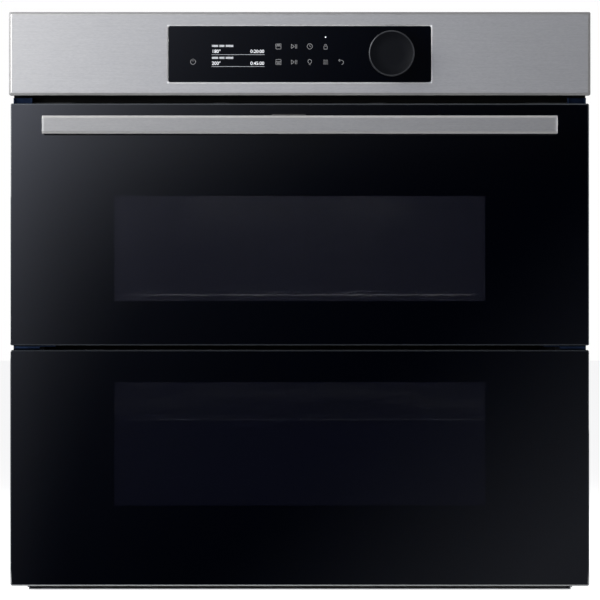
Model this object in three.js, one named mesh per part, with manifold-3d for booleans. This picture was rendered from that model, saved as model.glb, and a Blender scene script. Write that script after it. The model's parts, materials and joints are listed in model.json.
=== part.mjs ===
// Built-in wall oven with a split door, in millimetres, +Z up, its front towards -Y.
// The sub-parts are drawn with y = 0 where the oven meets the kitchen unit.
// The outer group then moves the origin to the middle of the base.
import * as THREE from "three";
import { mergeVertices } from "three/addons/utils/BufferGeometryUtils.js";
import Module from "manifold-3d";

// ---- driving dimensions ----
const GAP = 0.3; // between pieces that touch
const SHEET = 1.2; // folded steel sheet
const FRONT_WIDTH = 595;
const DOOR_WIDTH = 592.4;
const BODY = { half: 279.5, depth: 549, top: 578 };
const FRONT_Y = -21; // front face of the fascia and of the outer glass
const GLASS = 4; // outer and inner panes
const DOOR_BACK_Y = -2.3; // back of the door's outer part
const BOX_BACK_Y = 17.7; // back of the part of the door that enters the frame
const FRAME_BACK_Y = 26; // back of the front frame's recess
const FASCIA_Z = [506.1, 591.3];
const UPPER_Z = [250.1, 497.7]; // upper door glass
const LOWER_Z = [4, 245.5]; // lower door glass
const UPPER_BOX_Z = [254, 474];
const LOWER_BOX_Z = [38, 240];
const DOOR_HALF = 272; // half width of the door frames, between the side arms
const BOX_HALF = 246; // half width of the part that enters the frame
const ARM_X = [274, 293]; // side arm, from the middle plane
const ARM_Z = [12, 503.5];
const DOOR_PIVOT = { y: -12, z: 12 };
const MID_PIVOT = { y: -19, z: 247.8 };
const HINGE_X = 257; // middle of each bottom hinge
const CONTROL_GLASS = { x: 134.2, z: [519.7, 576.8] };
const DIAL = { x: 93.8, z: 548.4, radius: 23.4, front: -45, back: -23.3 };
const HANDLE = { half: 262.5, z: [466, 484.4], y: [-64, -50] };
const POST_X = [205, 254.6];
const LEVER = { x: [-28.6, 6.3], y: [-49.6, -41.3], z: [471, 486.2] };
const LATCH = { y: [-13, -9], z: [484, 490], inner: 20, tip: 278.5 };
const CAVITY = { half: 222, y: [26.3, 432], z: [73, 442] };
const COMPARTMENTS = [
  { name: "upper", z: 340, halfHeight: 78 },
  { name: "lower", z: 159, halfHeight: 78 },
];
const FAN = { radius: 52, ring: 66, cover: 125, coverY: 398, legX: 16, legDrop: 64 };
const RUNNER = { x: 214, railX: 210.6, levels: [110, 169.9, 205, 245, 297.6, 335] };
const RACK_Z = 303;
const TRAY_Z = 172.3;
const DIVIDER_Z = [247.3, 253.3];
const BAY_Z = [484, 485.2];
const BLOWER = { x: 60, y: 330, radius: 70, top: 525 };

const wasm = await Module();
wasm.setup();

// ---- finishes ----
const finish = (color, roughness, metalness) =>
  new THREE.MeshStandardMaterial({ color, roughness, metalness });
const ZINC = finish(0xa9b0b6, 0.45, 0.8);
const ARM_ZINC = finish(0x46566e, 0.4, 0.8);
const ENAMEL = finish(0x23262b, 0.3, 0.1);
const STAINLESS = finish(0xa8a7a5, 0.35, 0.9);
const CHROME = finish(0xc9cbcd, 0.15, 1);
const BLACK_GLASS = finish(0x060709, 0.08, 0);
const CLEAR_GLASS = finish(0x6f8080, 0.05, 0);
const WOOL = finish(0xd8cf9a, 0.95, 0);
const BLACK_STEEL = finish(0x15171a, 0.5, 0.4);
const BLACK_PLASTIC = finish(0x1b1b1d, 0.5, 0);
const BOARD = finish(0x1f5a3a, 0.6, 0);
const HEATER = finish(0x4a4845, 0.5, 0.6);
const BRAID = finish(0x3b3c3e, 0.9, 0);

// ---- solids ----
// A closed three.js geometry as a manifold solid.
function solid(geometry) {
  const loose = geometry.index ? geometry.toNonIndexed() : geometry;
  const bare = new THREE.BufferGeometry();
  bare.setAttribute("position", loose.getAttribute("position"));
  const merged = mergeVertices(bare, 1e-3);
  const vertProperties = merged.attributes.position.array;
  const triVerts = new Uint32Array(merged.index.array);
  return new wasm.Manifold(new wasm.Mesh({ numProp: 3, vertProperties, triVerts }));
}

// A box between two values on each axis, in either order.
function box(x, y, z) {
  const spans = [x, y, z];
  const size = spans.map(([a, b]) => Math.abs(b - a));
  const middle = spans.map(([a, b]) => (a + b) / 2);
  return solid(new THREE.BoxGeometry(...size).translate(...middle));
}

// A round bar along an axis. across holds its centre on the other two axes, in x, y, z order.
function bar(axis, radius, [from, to], across, sides = 12) {
  const g = new THREE.CylinderGeometry(radius, radius, Math.abs(to - from), sides);
  const middle = (from + to) / 2;
  if (axis === "x") {
    g.rotateZ(Math.PI / 2).translate(middle, across[0], across[1]);
  } else if (axis === "y") {
    g.translate(across[0], middle, across[1]);
  } else {
    g.rotateX(Math.PI / 2).translate(across[0], across[1], middle);
  }
  return solid(g);
}

const PLANES = {
  xy: [[1, 0, 0], [0, 1, 0], [0, 0, 1]],
  xz: [[1, 0, 0], [0, 0, 1], [0, -1, 0]],
  yz: [[0, 1, 0], [0, 0, 1], [1, 0, 0]],
};

// A flat outline in one plane, thickened between two values along the plane's normal axis.
function slab(plane, outline, [low, high], curveSegments = 2) {
  const depth = high - low;
  const g = new THREE.ExtrudeGeometry(outline, { depth, bevelEnabled: false, curveSegments });
  const basis = PLANES[plane].map((v) => new THREE.Vector3(...v));
  g.applyMatrix4(new THREE.Matrix4().makeBasis(...basis));
  const shift = { xy: [0, 0, low], xz: [0, high, 0], yz: [low, 0, 0] }[plane];
  return solid(g.translate(...shift));
}

// A rectangle with round corners, as a Shape or as a Path for a hole.
function roundRect([x0, x1], [y0, y1], radius, Kind = THREE.Shape) {
  const path = new Kind();
  const quarter = Math.PI / 2;
  path.moveTo(x1, y0 + radius);
  path.absarc(x1 - radius, y1 - radius, radius, 0, quarter);
  path.absarc(x0 + radius, y1 - radius, radius, quarter, 2 * quarter);
  path.absarc(x0 + radius, y0 + radius, radius, 2 * quarter, 3 * quarter);
  path.absarc(x1 - radius, y0 + radius, radius, 3 * quarter, 4 * quarter);
  return path;
}

// A plain sheet in one plane, cut by rectangular slots that are given in that plane.
function sheet(plane, first, second, thickness, slots = []) {
  const orders = { xy: (p, q, t) => [p, q, t], xz: (p, q, t) => [p, t, q], yz: (p, q, t) => [t, p, q] };
  const piece = (p, q, t) => box(...orders[plane](p, q, t));
  const tools = slots.map(([p, q]) => piece(p, q, grown(thickness, 1)));
  return cut(piece(first, second, thickness), ...tools);
}

// A row of equal slots along the first axis of a sheet.
function slotRow(first, pitch, count, width, span) {
  return Array.from({ length: count }, (_, i) => {
    const start = first + i * pitch;
    return [[start, start + width], span];
  });
}

const join = (...solids) => solids.reduce((a, b) => a.add(b));
const cut = (body, ...tools) => tools.reduce((a, b) => a.subtract(b), body);

// A path that passes through its points one by one, so that a swept tube has a ring at each.
class Route extends THREE.Curve {
  constructor(points) {
    super();
    this.points = points.map((p) => new THREE.Vector3(...p));
  }
  getPoint(t, target = new THREE.Vector3()) {
    const last = this.points.length - 1;
    return target.copy(this.points[Math.round(t * last)]);
  }
  getPointAt(u, target) {
    return this.getPoint(u, target);
  }
  getTangentAt(u, target = new THREE.Vector3()) {
    const last = this.points.length - 1;
    const i = Math.round(u * last);
    const before = this.points[Math.max(i - 1, 0)];
    const after = this.points[Math.min(i + 1, last)];
    return target.subVectors(after, before).normalize();
  }
}

// A round tube swept along points.
function tube(points, radius, sides = 6) {
  const ring = new THREE.Shape();
  ring.absarc(0, 0, radius, 0, 2 * Math.PI);
  const options = {
    steps: points.length - 1,
    extrudePath: new Route(points),
    curveSegments: sides / 2,
    bevelEnabled: false,
  };
  return solid(new THREE.ExtrudeGeometry(ring, options));
}

// Rounds the corners of a flat run of [x, y] points at a height z.
function rounded(corners, z, radius, perBend = 3) {
  const points = [];
  corners.forEach(([x, y], i) => {
    if (i === 0 || i === corners.length - 1) {
      points.push([x, y, z]);
      return;
    }
    const corner = new THREE.Vector2(x, y);
    const towards = (other) =>
      new THREE.Vector2(...other).sub(corner).setLength(radius).add(corner);
    const arc = new THREE.QuadraticBezierCurve(
      towards(corners[i - 1]), corner, towards(corners[i + 1]));
    arc.getPoints(perBend).forEach((p) => points.push([p.x, p.y, z]));
  });
  return points;
}

// ---- assembly ----
const oven = new THREE.Group();
const assembly = new THREE.Group();
assembly.position.y = -(HANDLE.y[0] + BODY.depth) / 2;
oven.add(assembly);

// Adds one named piece made from a manifold solid.
function add(name, body, material) {
  const { numProp, vertProperties, triVerts } = body.getMesh();
  const geometry = new THREE.BufferGeometry();
  geometry.setAttribute("position", new THREE.BufferAttribute(vertProperties, numProp));
  geometry.setIndex(new THREE.BufferAttribute(triVerts, 1));
  const mesh = new THREE.Mesh(geometry, material);
  mesh.name = name;
  assembly.add(mesh);
}

const SIDES = [["left", -1], ["right", 1]];
const mirrored = (side, [a, b]) => [side * a, side * b];
const wide = (half) => [-half, half];
const grown = ([low, high], by) => [low - by, high + by];

// ---- cabinet sheets ----
function basePan() {
  const x = BODY.half - SHEET - GAP;
  const y = [2, BODY.depth - 2];
  const tray = box(wide(x), y, [0, 18]);
  const inside = box(wide(x - SHEET), [0, y[1] - SHEET], [SHEET, 20]);
  return cut(tray, inside);
}

function sidePanel(side) {
  const low = slotRow(360, 18, 6, 8, [30, 62]);
  const high = slotRow(120, 18, 10, 8, [505, 545]);
  const x = [BODY.half - SHEET, BODY.half].map((at) => side * at);
  x.sort((a, b) => a - b);
  return sheet("yz", [2, BODY.depth - 2], [2, BODY.top - SHEET - GAP], x, [...low, ...high]);
}

function topCover() {
  const slots = [
    ...slotRow(-230, 26, 6, 12, [380, 470]),
    ...slotRow(60, 26, 6, 12, [60, 110]),
  ];
  const z = [BODY.top - SHEET, BODY.top];
  return sheet("xy", wide(BODY.half), [2, BODY.depth - 2], z, slots);
}

const TERMINAL = { x: [-226, -174], z: [512, 556] };

function backPanel() {
  const y = [BODY.depth - 2 + GAP, BODY.depth - 2 + GAP + SHEET];
  const slots = [
    [grown(TERMINAL.x, GAP), grown(TERMINAL.z, GAP)],
    ...slotRow(-60, 30, 9, 14, [500, 560]),
    ...slotRow(-82, 30, 6, 14, [315, 365]),
    ...slotRow(-82, 30, 6, 14, [134, 184]),
  ];
  return sheet("xz", wide(BODY.half), [2, BODY.top - SHEET - GAP], y, slots);
}

function frontFrame() {
  const recessX = 262;
  const recessZ = [34, 480];
  const flange = box(wide(293), [0, 1.5], [5, 505]);
  const sleeve = box(wide(recessX + SHEET), [0, FRAME_BACK_Y], grown(recessZ, SHEET));
  const recess = box(wide(recessX), [-1, FRAME_BACK_Y - SHEET], recessZ);
  const mouth = box(wide(CAVITY.half - SHEET), [-1, 40], grown(CAVITY.z, -SHEET));
  const outlets = [-160, 0, 160].map((x) => box([x - 72, x + 72], [-1, 3], [487, 499]));
  const slots = SIDES.map(([, side]) => box(mirrored(side, [247, 267]), [-1, 3], [6.5, 31.5]));
  const holes = SIDES.flatMap(([, side]) =>
    [130, 420].map((z) => bar("y", 2.6, [-1, 3], [side * 286.5, z])));
  return cut(flange.add(sleeve), recess, mouth, ...outlets, ...slots, ...holes);
}

function bayFloor() {
  const slots = slotRow(-250, 36, 5, 14, [300, 420]);
  return sheet("xy", wide(276), [28, BODY.depth - 3], BAY_Z, slots);
}

function terminalBlock() {
  const body = box(TERMINAL.x, [518, BODY.depth], TERMINAL.z);
  const pockets = [-214, -200, -186].map((x) =>
    bar("y", 4, [BODY.depth - 14, BODY.depth + 1], [x, 545]));
  const clamp = box([-212, -188], [BODY.depth - 16, BODY.depth + 1], [510, 528]);
  return cut(body, clamp, ...pockets);
}

// ---- hot part ----
const GRILL = { x: 60, z: 428 };
const LAMP = { y: 120, z: 378, radius: 22 };

function ovenCavity() {
  const shell = box(wide(CAVITY.half), CAVITY.y, CAVITY.z);
  const flange = box(wide(236), [CAVITY.y[0], CAVITY.y[0] + SHEET], [58, 457]);
  const inside = box(
    wide(CAVITY.half - SHEET), [0, CAVITY.y[1] - SHEET], grown(CAVITY.z, -SHEET));
  const back = [CAVITY.y[1] - 3, CAVITY.y[1] + 3];
  const fanHoles = COMPARTMENTS.flatMap(({ z }) => [
    bar("y", 9, back, [0, z], 10),
    ...wide(FAN.legX).map((x) => bar("y", 4.5, back, [x, z - FAN.legDrop], 8)),
  ]);
  const grillHoles = [-1, 1].map((s) => bar("y", 4.5, back, [s * GRILL.x, GRILL.z], 8));
  const lampHole = bar("x", 19, [-225, -215], [LAMP.y, LAMP.z], 16);
  return cut(shell.add(flange), inside, ...fanHoles, ...grillHoles, lampHole);
}

function insulation() {
  const y = [30, 472];
  const block = box(wide(262), y, [40, 474]);
  const room = box(wide(CAVITY.half + 2), [0, CAVITY.y[1] + 2], [62, CAVITY.z[1] + 2]);
  const back = [CAVITY.y[1], y[1] + 2];
  const openings = COMPARTMENTS.flatMap(({ z }) => [
    bar("y", 34, back, [0, z], 20),
    box([-24, 24], back, [z - FAN.ring - 7, z - 25]),
  ]);
  const grill = box(wide(GRILL.x + 9), back, [GRILL.z - 8, GRILL.z + 8]);
  const lamp = bar("x", 26, [-250, -220], [LAMP.y, LAMP.z], 20);
  return cut(block, room, ...openings, grill, lamp);
}

// The grill heater runs forward and back under the ceiling, as one bent tube.
function grillElement() {
  const back = 452;
  const near = 392;
  const far = 70;
  const xs = [GRILL.x, 150, 95, 35];
  const right = [
    [xs[0], back], [xs[0], near], [xs[1] + 25, near], [xs[1] + 25, far],
    [xs[2] + 18, far], [xs[2] + 18, near - 45], [xs[3] + 12, near - 45], [xs[3] + 12, far],
  ];
  const left = right.map(([x, y]) => [-x, y]).reverse();
  return tube(rounded([...right, ...left], GRILL.z, 18), 3.2);
}

// The lower heater is one loop under the floor of the liner.
function bottomElement() {
  const right = [[40, 420], [40, 378], [170, 378], [170, 90], [90, 90], [90, 300], [30, 300], [30, 90]];
  const left = right.map(([x, y]) => [-x, y]).reverse();
  return tube(rounded([...right, ...left], 67.5, 18), 3.2);
}

function fanCover({ z, halfHeight }) {
  const outline = roundRect(wide(FAN.cover), [z - halfHeight, z + halfHeight], 12);
  const inner = roundRect(
    wide(FAN.cover - SHEET), [z - halfHeight + SHEET, z + halfHeight - SHEET], 11);
  const wall = CAVITY.y[1] - SHEET - GAP;
  const pan = cut(
    slab("xz", outline, [FAN.coverY, wall]),
    slab("xz", inner, [FAN.coverY + SHEET, wall + 1]));
  const spokes = 10;
  const slots = Array.from({ length: spokes }, (_, i) => {
    const g = new THREE.BoxGeometry(32, 8, 5);
    g.translate(30, 0, 0).rotateY((i / spokes) * 2 * Math.PI);
    return solid(g.translate(0, FAN.coverY, z));
  });
  const outlets = SIDES.flatMap(([, side]) =>
    [-1, 0, 1].map((row) =>
      box(mirrored(side, [90, 115]), [390, 404], [z + row * 30 - 4, z + row * 30 + 4])));
  return cut(pan, ...slots, ...outlets);
}

function ringHeater({ z }) {
  const y = 414;
  const g = new THREE.TorusGeometry(FAN.ring, 3.2, 6, 24).rotateX(Math.PI / 2);
  const legs = wide(FAN.legX).map((x) => bar("y", 3.2, [y, 450], [x, z - FAN.legDrop], 6));
  return join(solid(g.translate(0, y, z)), ...legs);
}

// A fan wheel with its shaft, which runs through the liner into the motor.
function fanWheel({ z }) {
  const disc = bar("y", 24, [419, 421], [0, z], 20);
  const hub = bar("y", 8, [405, 421], [0, z]);
  const shaft = bar("y", 4, [404, 451], [0, z]);
  const blades = Array.from({ length: 8 }, (_, i) => {
    const g = new THREE.BoxGeometry(FAN.radius - 10, 14, 1.6).translate((FAN.radius + 10) / 2, 0, 0);
    return solid(g.rotateY((i / 8) * 2 * Math.PI).translate(0, 413.5, z));
  });
  return join(disc, hub, shaft, ...blades);
}

function fanMotor({ z }) {
  const can = bar("y", 31, [438, 484], [0, z], 20);
  const plate = box(wide(48), [480, 482], [z - 14, z + 14]);
  const bore = bar("y", 4.8, [430, 454], [0, z]);
  return cut(can.add(plate), bore);
}

function lampLens() {
  const profile = [
    [0, 0], [14, 1], [20, 5], [LAMP.radius, 9], [LAMP.radius, 11.5],
    [18, 11.5], [18, 26], [0, 26],
  ].map((p) => new THREE.Vector2(...p));
  const g = new THREE.LatheGeometry(profile, 16).rotateZ(Math.PI / 2);
  return solid(g.translate(-(CAVITY.half - SHEET - 12), LAMP.y, LAMP.z));
}

// ---- what the liner holds ----
function shelfRunner(side) {
  const { x, railX, levels } = RUNNER;
  const uprights = [60, 215, 375].map((y) => bar("z", 2.2, [90, 424], [side * x, y], 6));
  const rails = levels.map((z) => bar("y", 2, [48, 388], [side * railX, z], 6));
  return join(...uprights, ...rails);
}

function wireRack() {
  const x = 207.2;
  const y = [42, 385];
  const rails = [-x, x].map((at) => bar("y", 3, y, [at, RACK_Z], 8));
  const ends = y.map((at) => bar("x", 3, wide(x), [at, RACK_Z], 8));
  const wires = Array.from({ length: 17 }, (_, i) =>
    bar("y", 1.6, grown(y, -1), [(i - 8) * 22.4, RACK_Z - 3.6], 6));
  return join(...rails, ...ends, ...wires);
}

function bakingTray() {
  const rim = box(wide(208.5), [42, 385], [TRAY_Z, TRAY_Z + SHEET]);
  const basin = box(wide(190), [56, 371], [148, TRAY_Z + SHEET]);
  const inside = box(wide(190 - SHEET), [56 + SHEET, 371 - SHEET], [148 + SHEET, TRAY_Z + 5]);
  return cut(rim.add(basin), inside);
}

function dividerPlate() {
  const board = box(wide(211), [34, 394], DIVIDER_Z);
  const nose = box(wide(219), [28, 35], [243, 254]);
  return board.add(nose);
}

function doorSeal() {
  const outer = roundRect(wide(241), [55, 461], 24);
  outer.holes.push(roundRect(wide(233), [63, 453], 16, THREE.Path));
  return slab("xz", outer, [BOX_BACK_Y + GAP, FRAME_BACK_Y - SHEET - GAP], 3);
}

// ---- control panel and electronics ----
function controlFascia() {
  const half = FRONT_WIDTH / 2;
  const shell = box(wide(half), [FRONT_Y, -1.3], FASCIA_Z);
  const pocket = box(wide(half - 2), [FRONT_Y + 2, 0], grown(FASCIA_Z, -2));
  const window = box(wide(CONTROL_GLASS.x + GAP), [-30, 0], grown(CONTROL_GLASS.z, GAP));
  return cut(shell, pocket, window);
}

function controlGlass() {
  const outline = roundRect(wide(CONTROL_GLASS.x), CONTROL_GLASS.z, 2);
  const pane = slab("xz", outline, [FRONT_Y, FRONT_Y + 3]);
  return cut(pane, bar("y", 5, [-30, 0], [DIAL.x, DIAL.z], 16));
}

function displayBoard() {
  const board = box(wide(125), [-14, -12.4], [523, 574]);
  const screen = box([-92, -34], [-17.6, -13], [534, 561]);
  const encoder = box([DIAL.x - 7, DIAL.x + 7], [-15, -4], [DIAL.z - 7, DIAL.z + 7]);
  const spacers = [-119, 119].flatMap((x) =>
    [527, 570].map((z) => bar("y", 2.5, [-17.7, -13], [x, z], 8)));
  const bore = bar("y", 3.5, [-20, -5], [DIAL.x, DIAL.z]);
  return cut(join(board, screen, encoder, ...spacers), bore);
}

function powerBoard() {
  const board = box([-250, -110], [60, 220], [493, 494.6]);
  const legs = [-244, -116].flatMap((x) =>
    [66, 214].map((y) => bar("z", 3, [BAY_Z[1] + GAP, 494], [x, y], 8)));
  const transformer = box([-240, -196], [160, 204], [494, 530]);
  const relays = [0, 1, 2, 3, 4].map((i) =>
    box([-182, -154], [70 + i * 28, 86 + i * 28], [494, 510]));
  const capacitor = bar("z", 8, [494, 520], [-225, 100], 12);
  return join(board, ...legs, transformer, ...relays, capacitor);
}

function dialKnob() {
  const { radius, front, back } = DIAL;
  const profile = [
    [0, back - 14.7], [3.3, back - 14.7], [3.3, back], [radius, back],
    [radius, front + 1.2], [radius - 1.2, front], [0, front],
  ].map((p) => new THREE.Vector2(...p));
  const g = new THREE.LatheGeometry(profile.reverse(), 40);
  return solid(g.translate(DIAL.x, 0, DIAL.z));
}

function dialShaft() {
  return bar("y", 3, [DIAL.back - 14.2, -8], [DIAL.x, DIAL.z], 16);
}

// ---- cooling blower ----
function blowerHousing() {
  const { x, y, radius, top } = BLOWER;
  const low = BAY_Z[1] + GAP;
  const wall = 1.6;
  const outer = join(
    bar("z", radius, [low, top], [x, y], 32),
    box([x - 10, x + radius], [40, y], [low, top]));
  const inner = join(
    bar("z", radius - wall, [low + wall, top - wall], [x, y], 32),
    box([x - 10 + wall, x + radius - wall], [30, y], [low + wall, top - wall]));
  return cut(outer, inner, bar("z", 42, [top - 3, top + 1], [x, y], 24));
}

function blowerMotor() {
  const { x, y, top } = BLOWER;
  const can = bar("z", 29, [top + 4, top + 38], [x, y], 20);
  const arms = [0, 1, 2].map((i) => {
    const g = new THREE.BoxGeometry(58, 12, 4.5).translate(29, 0, 0);
    g.rotateZ((i * 2 * Math.PI) / 3).translate(x, y, top + GAP + 2.25);
    return solid(g);
  });
  const shaft = bar("z", 3, [492, top + 6], [x, y]);
  return join(can, ...arms, shaft);
}

function blowerWheel() {
  const { x, y } = BLOWER;
  const disc = bar("z", 54, [489.5, 491.5], [x, y], 28);
  const rim = cut(bar("z", 54, [515, 517], [x, y], 28), bar("z", 44, [510, 520], [x, y], 28));
  const count = 14;
  const blades = Array.from({ length: count }, (_, i) => {
    const g = new THREE.BoxGeometry(9, 1.4, 26).rotateZ(0.6).translate(48, 0, 0);
    return solid(g.rotateZ((i / count) * 2 * Math.PI).translate(x, y, 503));
  });
  const hub = bar("z", 9, [490, 512], [x, y], 16);
  return cut(join(disc, rim, hub, ...blades), bar("z", 3.6, [491.8, 520], [x, y]));
}

// ---- bottom hinges ----
function hingeBox(side) {
  const { y, z } = DOOR_PIVOT;
  const at = (low, high) => mirrored(side, [HINGE_X + low, HINGE_X + high]);
  const channel = cut(
    box(at(-8, 8), [3, 112], [9, 30]),
    box(at(-6.4, 6.4), [6, 120], [10.6, 34]));
  const tongue = box(at(-2.5, 2.5), [y, 5], [z - 3, z + 3]);
  const eye = bar("x", 5, at(-2.5, 2.5), [y, z], 16);
  const pin = bar("x", 2.5, at(-7.6, 7.6), [y, z], 12);
  return join(channel, tongue, eye, pin);
}

function hingeArm(side) {
  const { y, z } = DOOR_PIVOT;
  const at = (low, high) => mirrored(side, [HINGE_X + low, HINGE_X + high]);
  const channel = box(at(-8, 8), [-16.4, -7], [7.5, 96]);
  const room = box(at(-4.6, 4.6), [-20, 0], [0, 24]);
  const hollow = box(at(-6.4, 6.4), [-14.8, 0], [24, 100]);
  return cut(channel, room, hollow, bar("x", 3.1, at(-10, 10), [y, z], 16));
}

// ---- doors ----
// A pressed frame: an outer tray behind the outer glass, and a box that enters the cabinet.
function doorFrame(outerZ, boxZ) {
  const tray = box(wide(DOOR_HALF), [FRONT_Y + GLASS + GAP, DOOR_BACK_Y], outerZ);
  const pocket = box(
    wide(DOOR_HALF - 3), [FRONT_Y, DOOR_BACK_Y - 2], grown(outerZ, -3));
  const boxBack = BOX_BACK_Y - GLASS - GAP;
  const sleeve = box(wide(BOX_HALF), [DOOR_BACK_Y - 2, boxBack], boxZ);
  const through = box(wide(BOX_HALF - 3), [-30, 30], grown(boxZ, -3));
  return cut(cut(tray, pocket).add(sleeve), through);
}

function lowerDoorFrame() {
  const room = SIDES.map(([, side]) =>
    box(mirrored(side, [HINGE_X - 9, HINGE_X + 9]), [-20, 0], [0, 32]));
  return cut(doorFrame([8.5, 244.8], LOWER_BOX_Z), ...room);
}

function upperDoorFrame() {
  const room = SIDES.map(([, side]) =>
    box(mirrored(side, [268, 275]), grown(LATCH.y, 0.6), grown(LATCH.z, 0.6)));
  return cut(doorFrame([250.3, 496.5], UPPER_BOX_Z), ...room);
}

function outerGlass(z) {
  const outline = roundRect(wide(DOOR_WIDTH / 2), z, 2);
  return slab("xz", outline, [FRONT_Y, FRONT_Y + GLASS]);
}

function middleGlass(boxZ) {
  return box(wide(BOX_HALF - 3 - GAP), [0, 3], grown(boxZ, -3 - GAP));
}

function innerGlass(boxZ) {
  return slab("xz", roundRect(wide(BOX_HALF), boxZ, 3), [BOX_BACK_Y - GLASS, BOX_BACK_Y]);
}

// A channel open to the front, with the keeper notch and the lower half of the middle hinge.
function sideArm(side) {
  const { y, z } = MID_PIVOT;
  const arm = box(mirrored(side, ARM_X), [-16.4, -3], ARM_Z);
  const inside = box(mirrored(side, grown(ARM_X, -1.5)), [-20, -4.5], [0, 600]);
  const notch = box(mirrored(side, [273, 277]), [-20, LATCH.y[1] + 3], grown(LATCH.z, 3));
  const tongue = box(mirrored(side, [280, 291]), [y, -4], [z - 2, z - 0.8]);
  const knuckle = bar("x", 2, mirrored(side, [280, 292.5]), [y, z], 16);
  const pin = bar("x", 0.9, mirrored(side, [266.5, 285]), [y, z], 8);
  return join(cut(arm, inside, notch), tongue, knuckle, pin);
}

// The upper half of the middle hinge, which turns on the side arm's pin.
function midHinge(side) {
  const { y, z } = MID_PIVOT;
  const knuckle = bar("x", 2, mirrored(side, [266, 279.7]), [y, z], 16);
  const leaf = box(mirrored(side, [250, 271.5]), [y, -6], [z + 0.9, z + 2]);
  const bore = bar("x", 1.25, mirrored(side, [240, 290]), [y, z], 12);
  return cut(knuckle.add(leaf), bore);
}

function handleBar() {
  const chamfer = 1.4;
  const [y0, y1] = HANDLE.y;
  const [z0, z1] = HANDLE.z;
  const outline = new THREE.Shape([
    [y0 + chamfer, z0], [y1, z0], [y1, z1], [y0 + chamfer, z1], [y0, z1 - chamfer], [y0, z0 + chamfer],
  ].map((p) => new THREE.Vector2(...p)));
  return slab("yz", outline, wide(HANDLE.half));
}

function handlePost(side) {
  const outline = roundRect(POST_X, grown(HANDLE.z, -2.5), 3);
  const post = slab("xz", outline, [HANDLE.y[1] + GAP, FRONT_Y - GAP]);
  return side < 0 ? post.mirror([1, 0, 0]) : post;
}

// ---- release lever and latches ----
const SPRING = { x: -11.2, y: -45.5, z: [472.8, 479.4], coil: 1.7, wire: 0.35, turns: 4 };

function releaseLever() {
  const paddle = box(LEVER.x, LEVER.y, LEVER.z);
  const pocket = box([SPRING.x - 5, SPRING.x + 5], [-48.3, -42.6], [460, SPRING.z[1] + GAP]);
  return cut(paddle, pocket);
}

function leverBracket() {
  const post = box([-22, 0], [LEVER.y[1] + GAP, FRONT_Y - GAP], [466.2, 478]);
  const neck = box([SPRING.x - 4, SPRING.x + 4], [-47.9, -40], [466.2, 467.7]);
  const tongue = box([SPRING.x - 4, SPRING.x + 4], [-47.9, -43], [466.2, SPRING.z[0] - GAP]);
  return join(post, neck, tongue);
}

function leverSpring() {
  const { x, y, z, coil, wire, turns } = SPRING;
  const perTurn = 8;
  const count = turns * perTurn;
  const low = z[0] + wire;
  const rise = z[1] - z[0] - 2 * wire;
  const points = Array.from({ length: count + 1 }, (_, i) => {
    const angle = (i / perTurn) * 2 * Math.PI;
    return [x + coil * Math.cos(angle), y + coil * Math.sin(angle), low + (rise * i) / count];
  });
  return tube(points, wire);
}

function latchRod(side) {
  return box(mirrored(side, [LATCH.inner, LATCH.tip]), LATCH.y, LATCH.z);
}

// ---- the tree of pieces ----
add("base_pan", basePan(), ZINC);
add("top_cover", topCover(), ZINC);
add("back_panel", backPanel(), ZINC);
add("front_frame", frontFrame(), BLACK_STEEL);
add("bay_floor", bayFloor(), ZINC);
add("terminal_block", terminalBlock(), BLACK_PLASTIC);
add("oven_cavity", ovenCavity(), ENAMEL);
add("insulation", insulation(), WOOL);
add("grill_element", grillElement(), HEATER);
add("bottom_element", bottomElement(), HEATER);
add("lamp_lens", lampLens(), CLEAR_GLASS);
add("wire_rack", wireRack(), CHROME);
add("baking_tray", bakingTray(), ENAMEL);
add("divider_plate", dividerPlate(), STAINLESS);
add("door_seal", doorSeal(), BRAID);
add("control_fascia", controlFascia(), STAINLESS);
add("control_glass", controlGlass(), BLACK_GLASS);
add("display_board", displayBoard(), BOARD);
add("power_board", powerBoard(), BOARD);
add("dial_knob", dialKnob(), BLACK_PLASTIC);
add("dial_shaft", dialShaft(), STAINLESS);
add("blower_housing", blowerHousing(), BLACK_PLASTIC);
add("blower_motor", blowerMotor(), ZINC);
add("blower_wheel", blowerWheel(), BLACK_PLASTIC);
add("lower_outer_glass", outerGlass(LOWER_Z), BLACK_GLASS);
add("lower_middle_glass", middleGlass(LOWER_BOX_Z), CLEAR_GLASS);
add("lower_inner_glass", innerGlass(LOWER_BOX_Z), CLEAR_GLASS);
add("lower_door_frame", lowerDoorFrame(), BLACK_STEEL);
add("upper_outer_glass", outerGlass(UPPER_Z), BLACK_GLASS);
add("upper_middle_glass", middleGlass(UPPER_BOX_Z), CLEAR_GLASS);
add("upper_inner_glass", innerGlass(UPPER_BOX_Z), CLEAR_GLASS);
add("upper_door_frame", upperDoorFrame(), BLACK_STEEL);
add("handle_bar", handleBar(), STAINLESS);
add("lever_bracket", leverBracket(), BLACK_PLASTIC);
add("release_lever", releaseLever(), BLACK_PLASTIC);
add("lever_spring", leverSpring(), STAINLESS);

for (const compartment of COMPARTMENTS) {
  const { name } = compartment;
  add(`${name}_fan_cover`, fanCover(compartment), ENAMEL);
  add(`${name}_ring_heater`, ringHeater(compartment), HEATER);
  add(`${name}_fan_wheel`, fanWheel(compartment), ZINC);
  add(`${name}_fan_motor`, fanMotor(compartment), ZINC);
}

for (const [name, side] of SIDES) {
  add(`side_panel_${name}`, sidePanel(side), ZINC);
  add(`shelf_runner_${name}`, shelfRunner(side), CHROME);
  add(`hinge_box_${name}`, hingeBox(side), ZINC);
  add(`hinge_arm_${name}`, hingeArm(side), ZINC);
  add(`side_arm_${name}`, sideArm(side), ARM_ZINC);
  add(`mid_hinge_${name}`, midHinge(side), ARM_ZINC);
  add(`handle_post_${name}`, handlePost(side), BLACK_STEEL);
  add(`latch_rod_${name}`, latchRod(side), ZINC);
}

export default oven;
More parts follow.
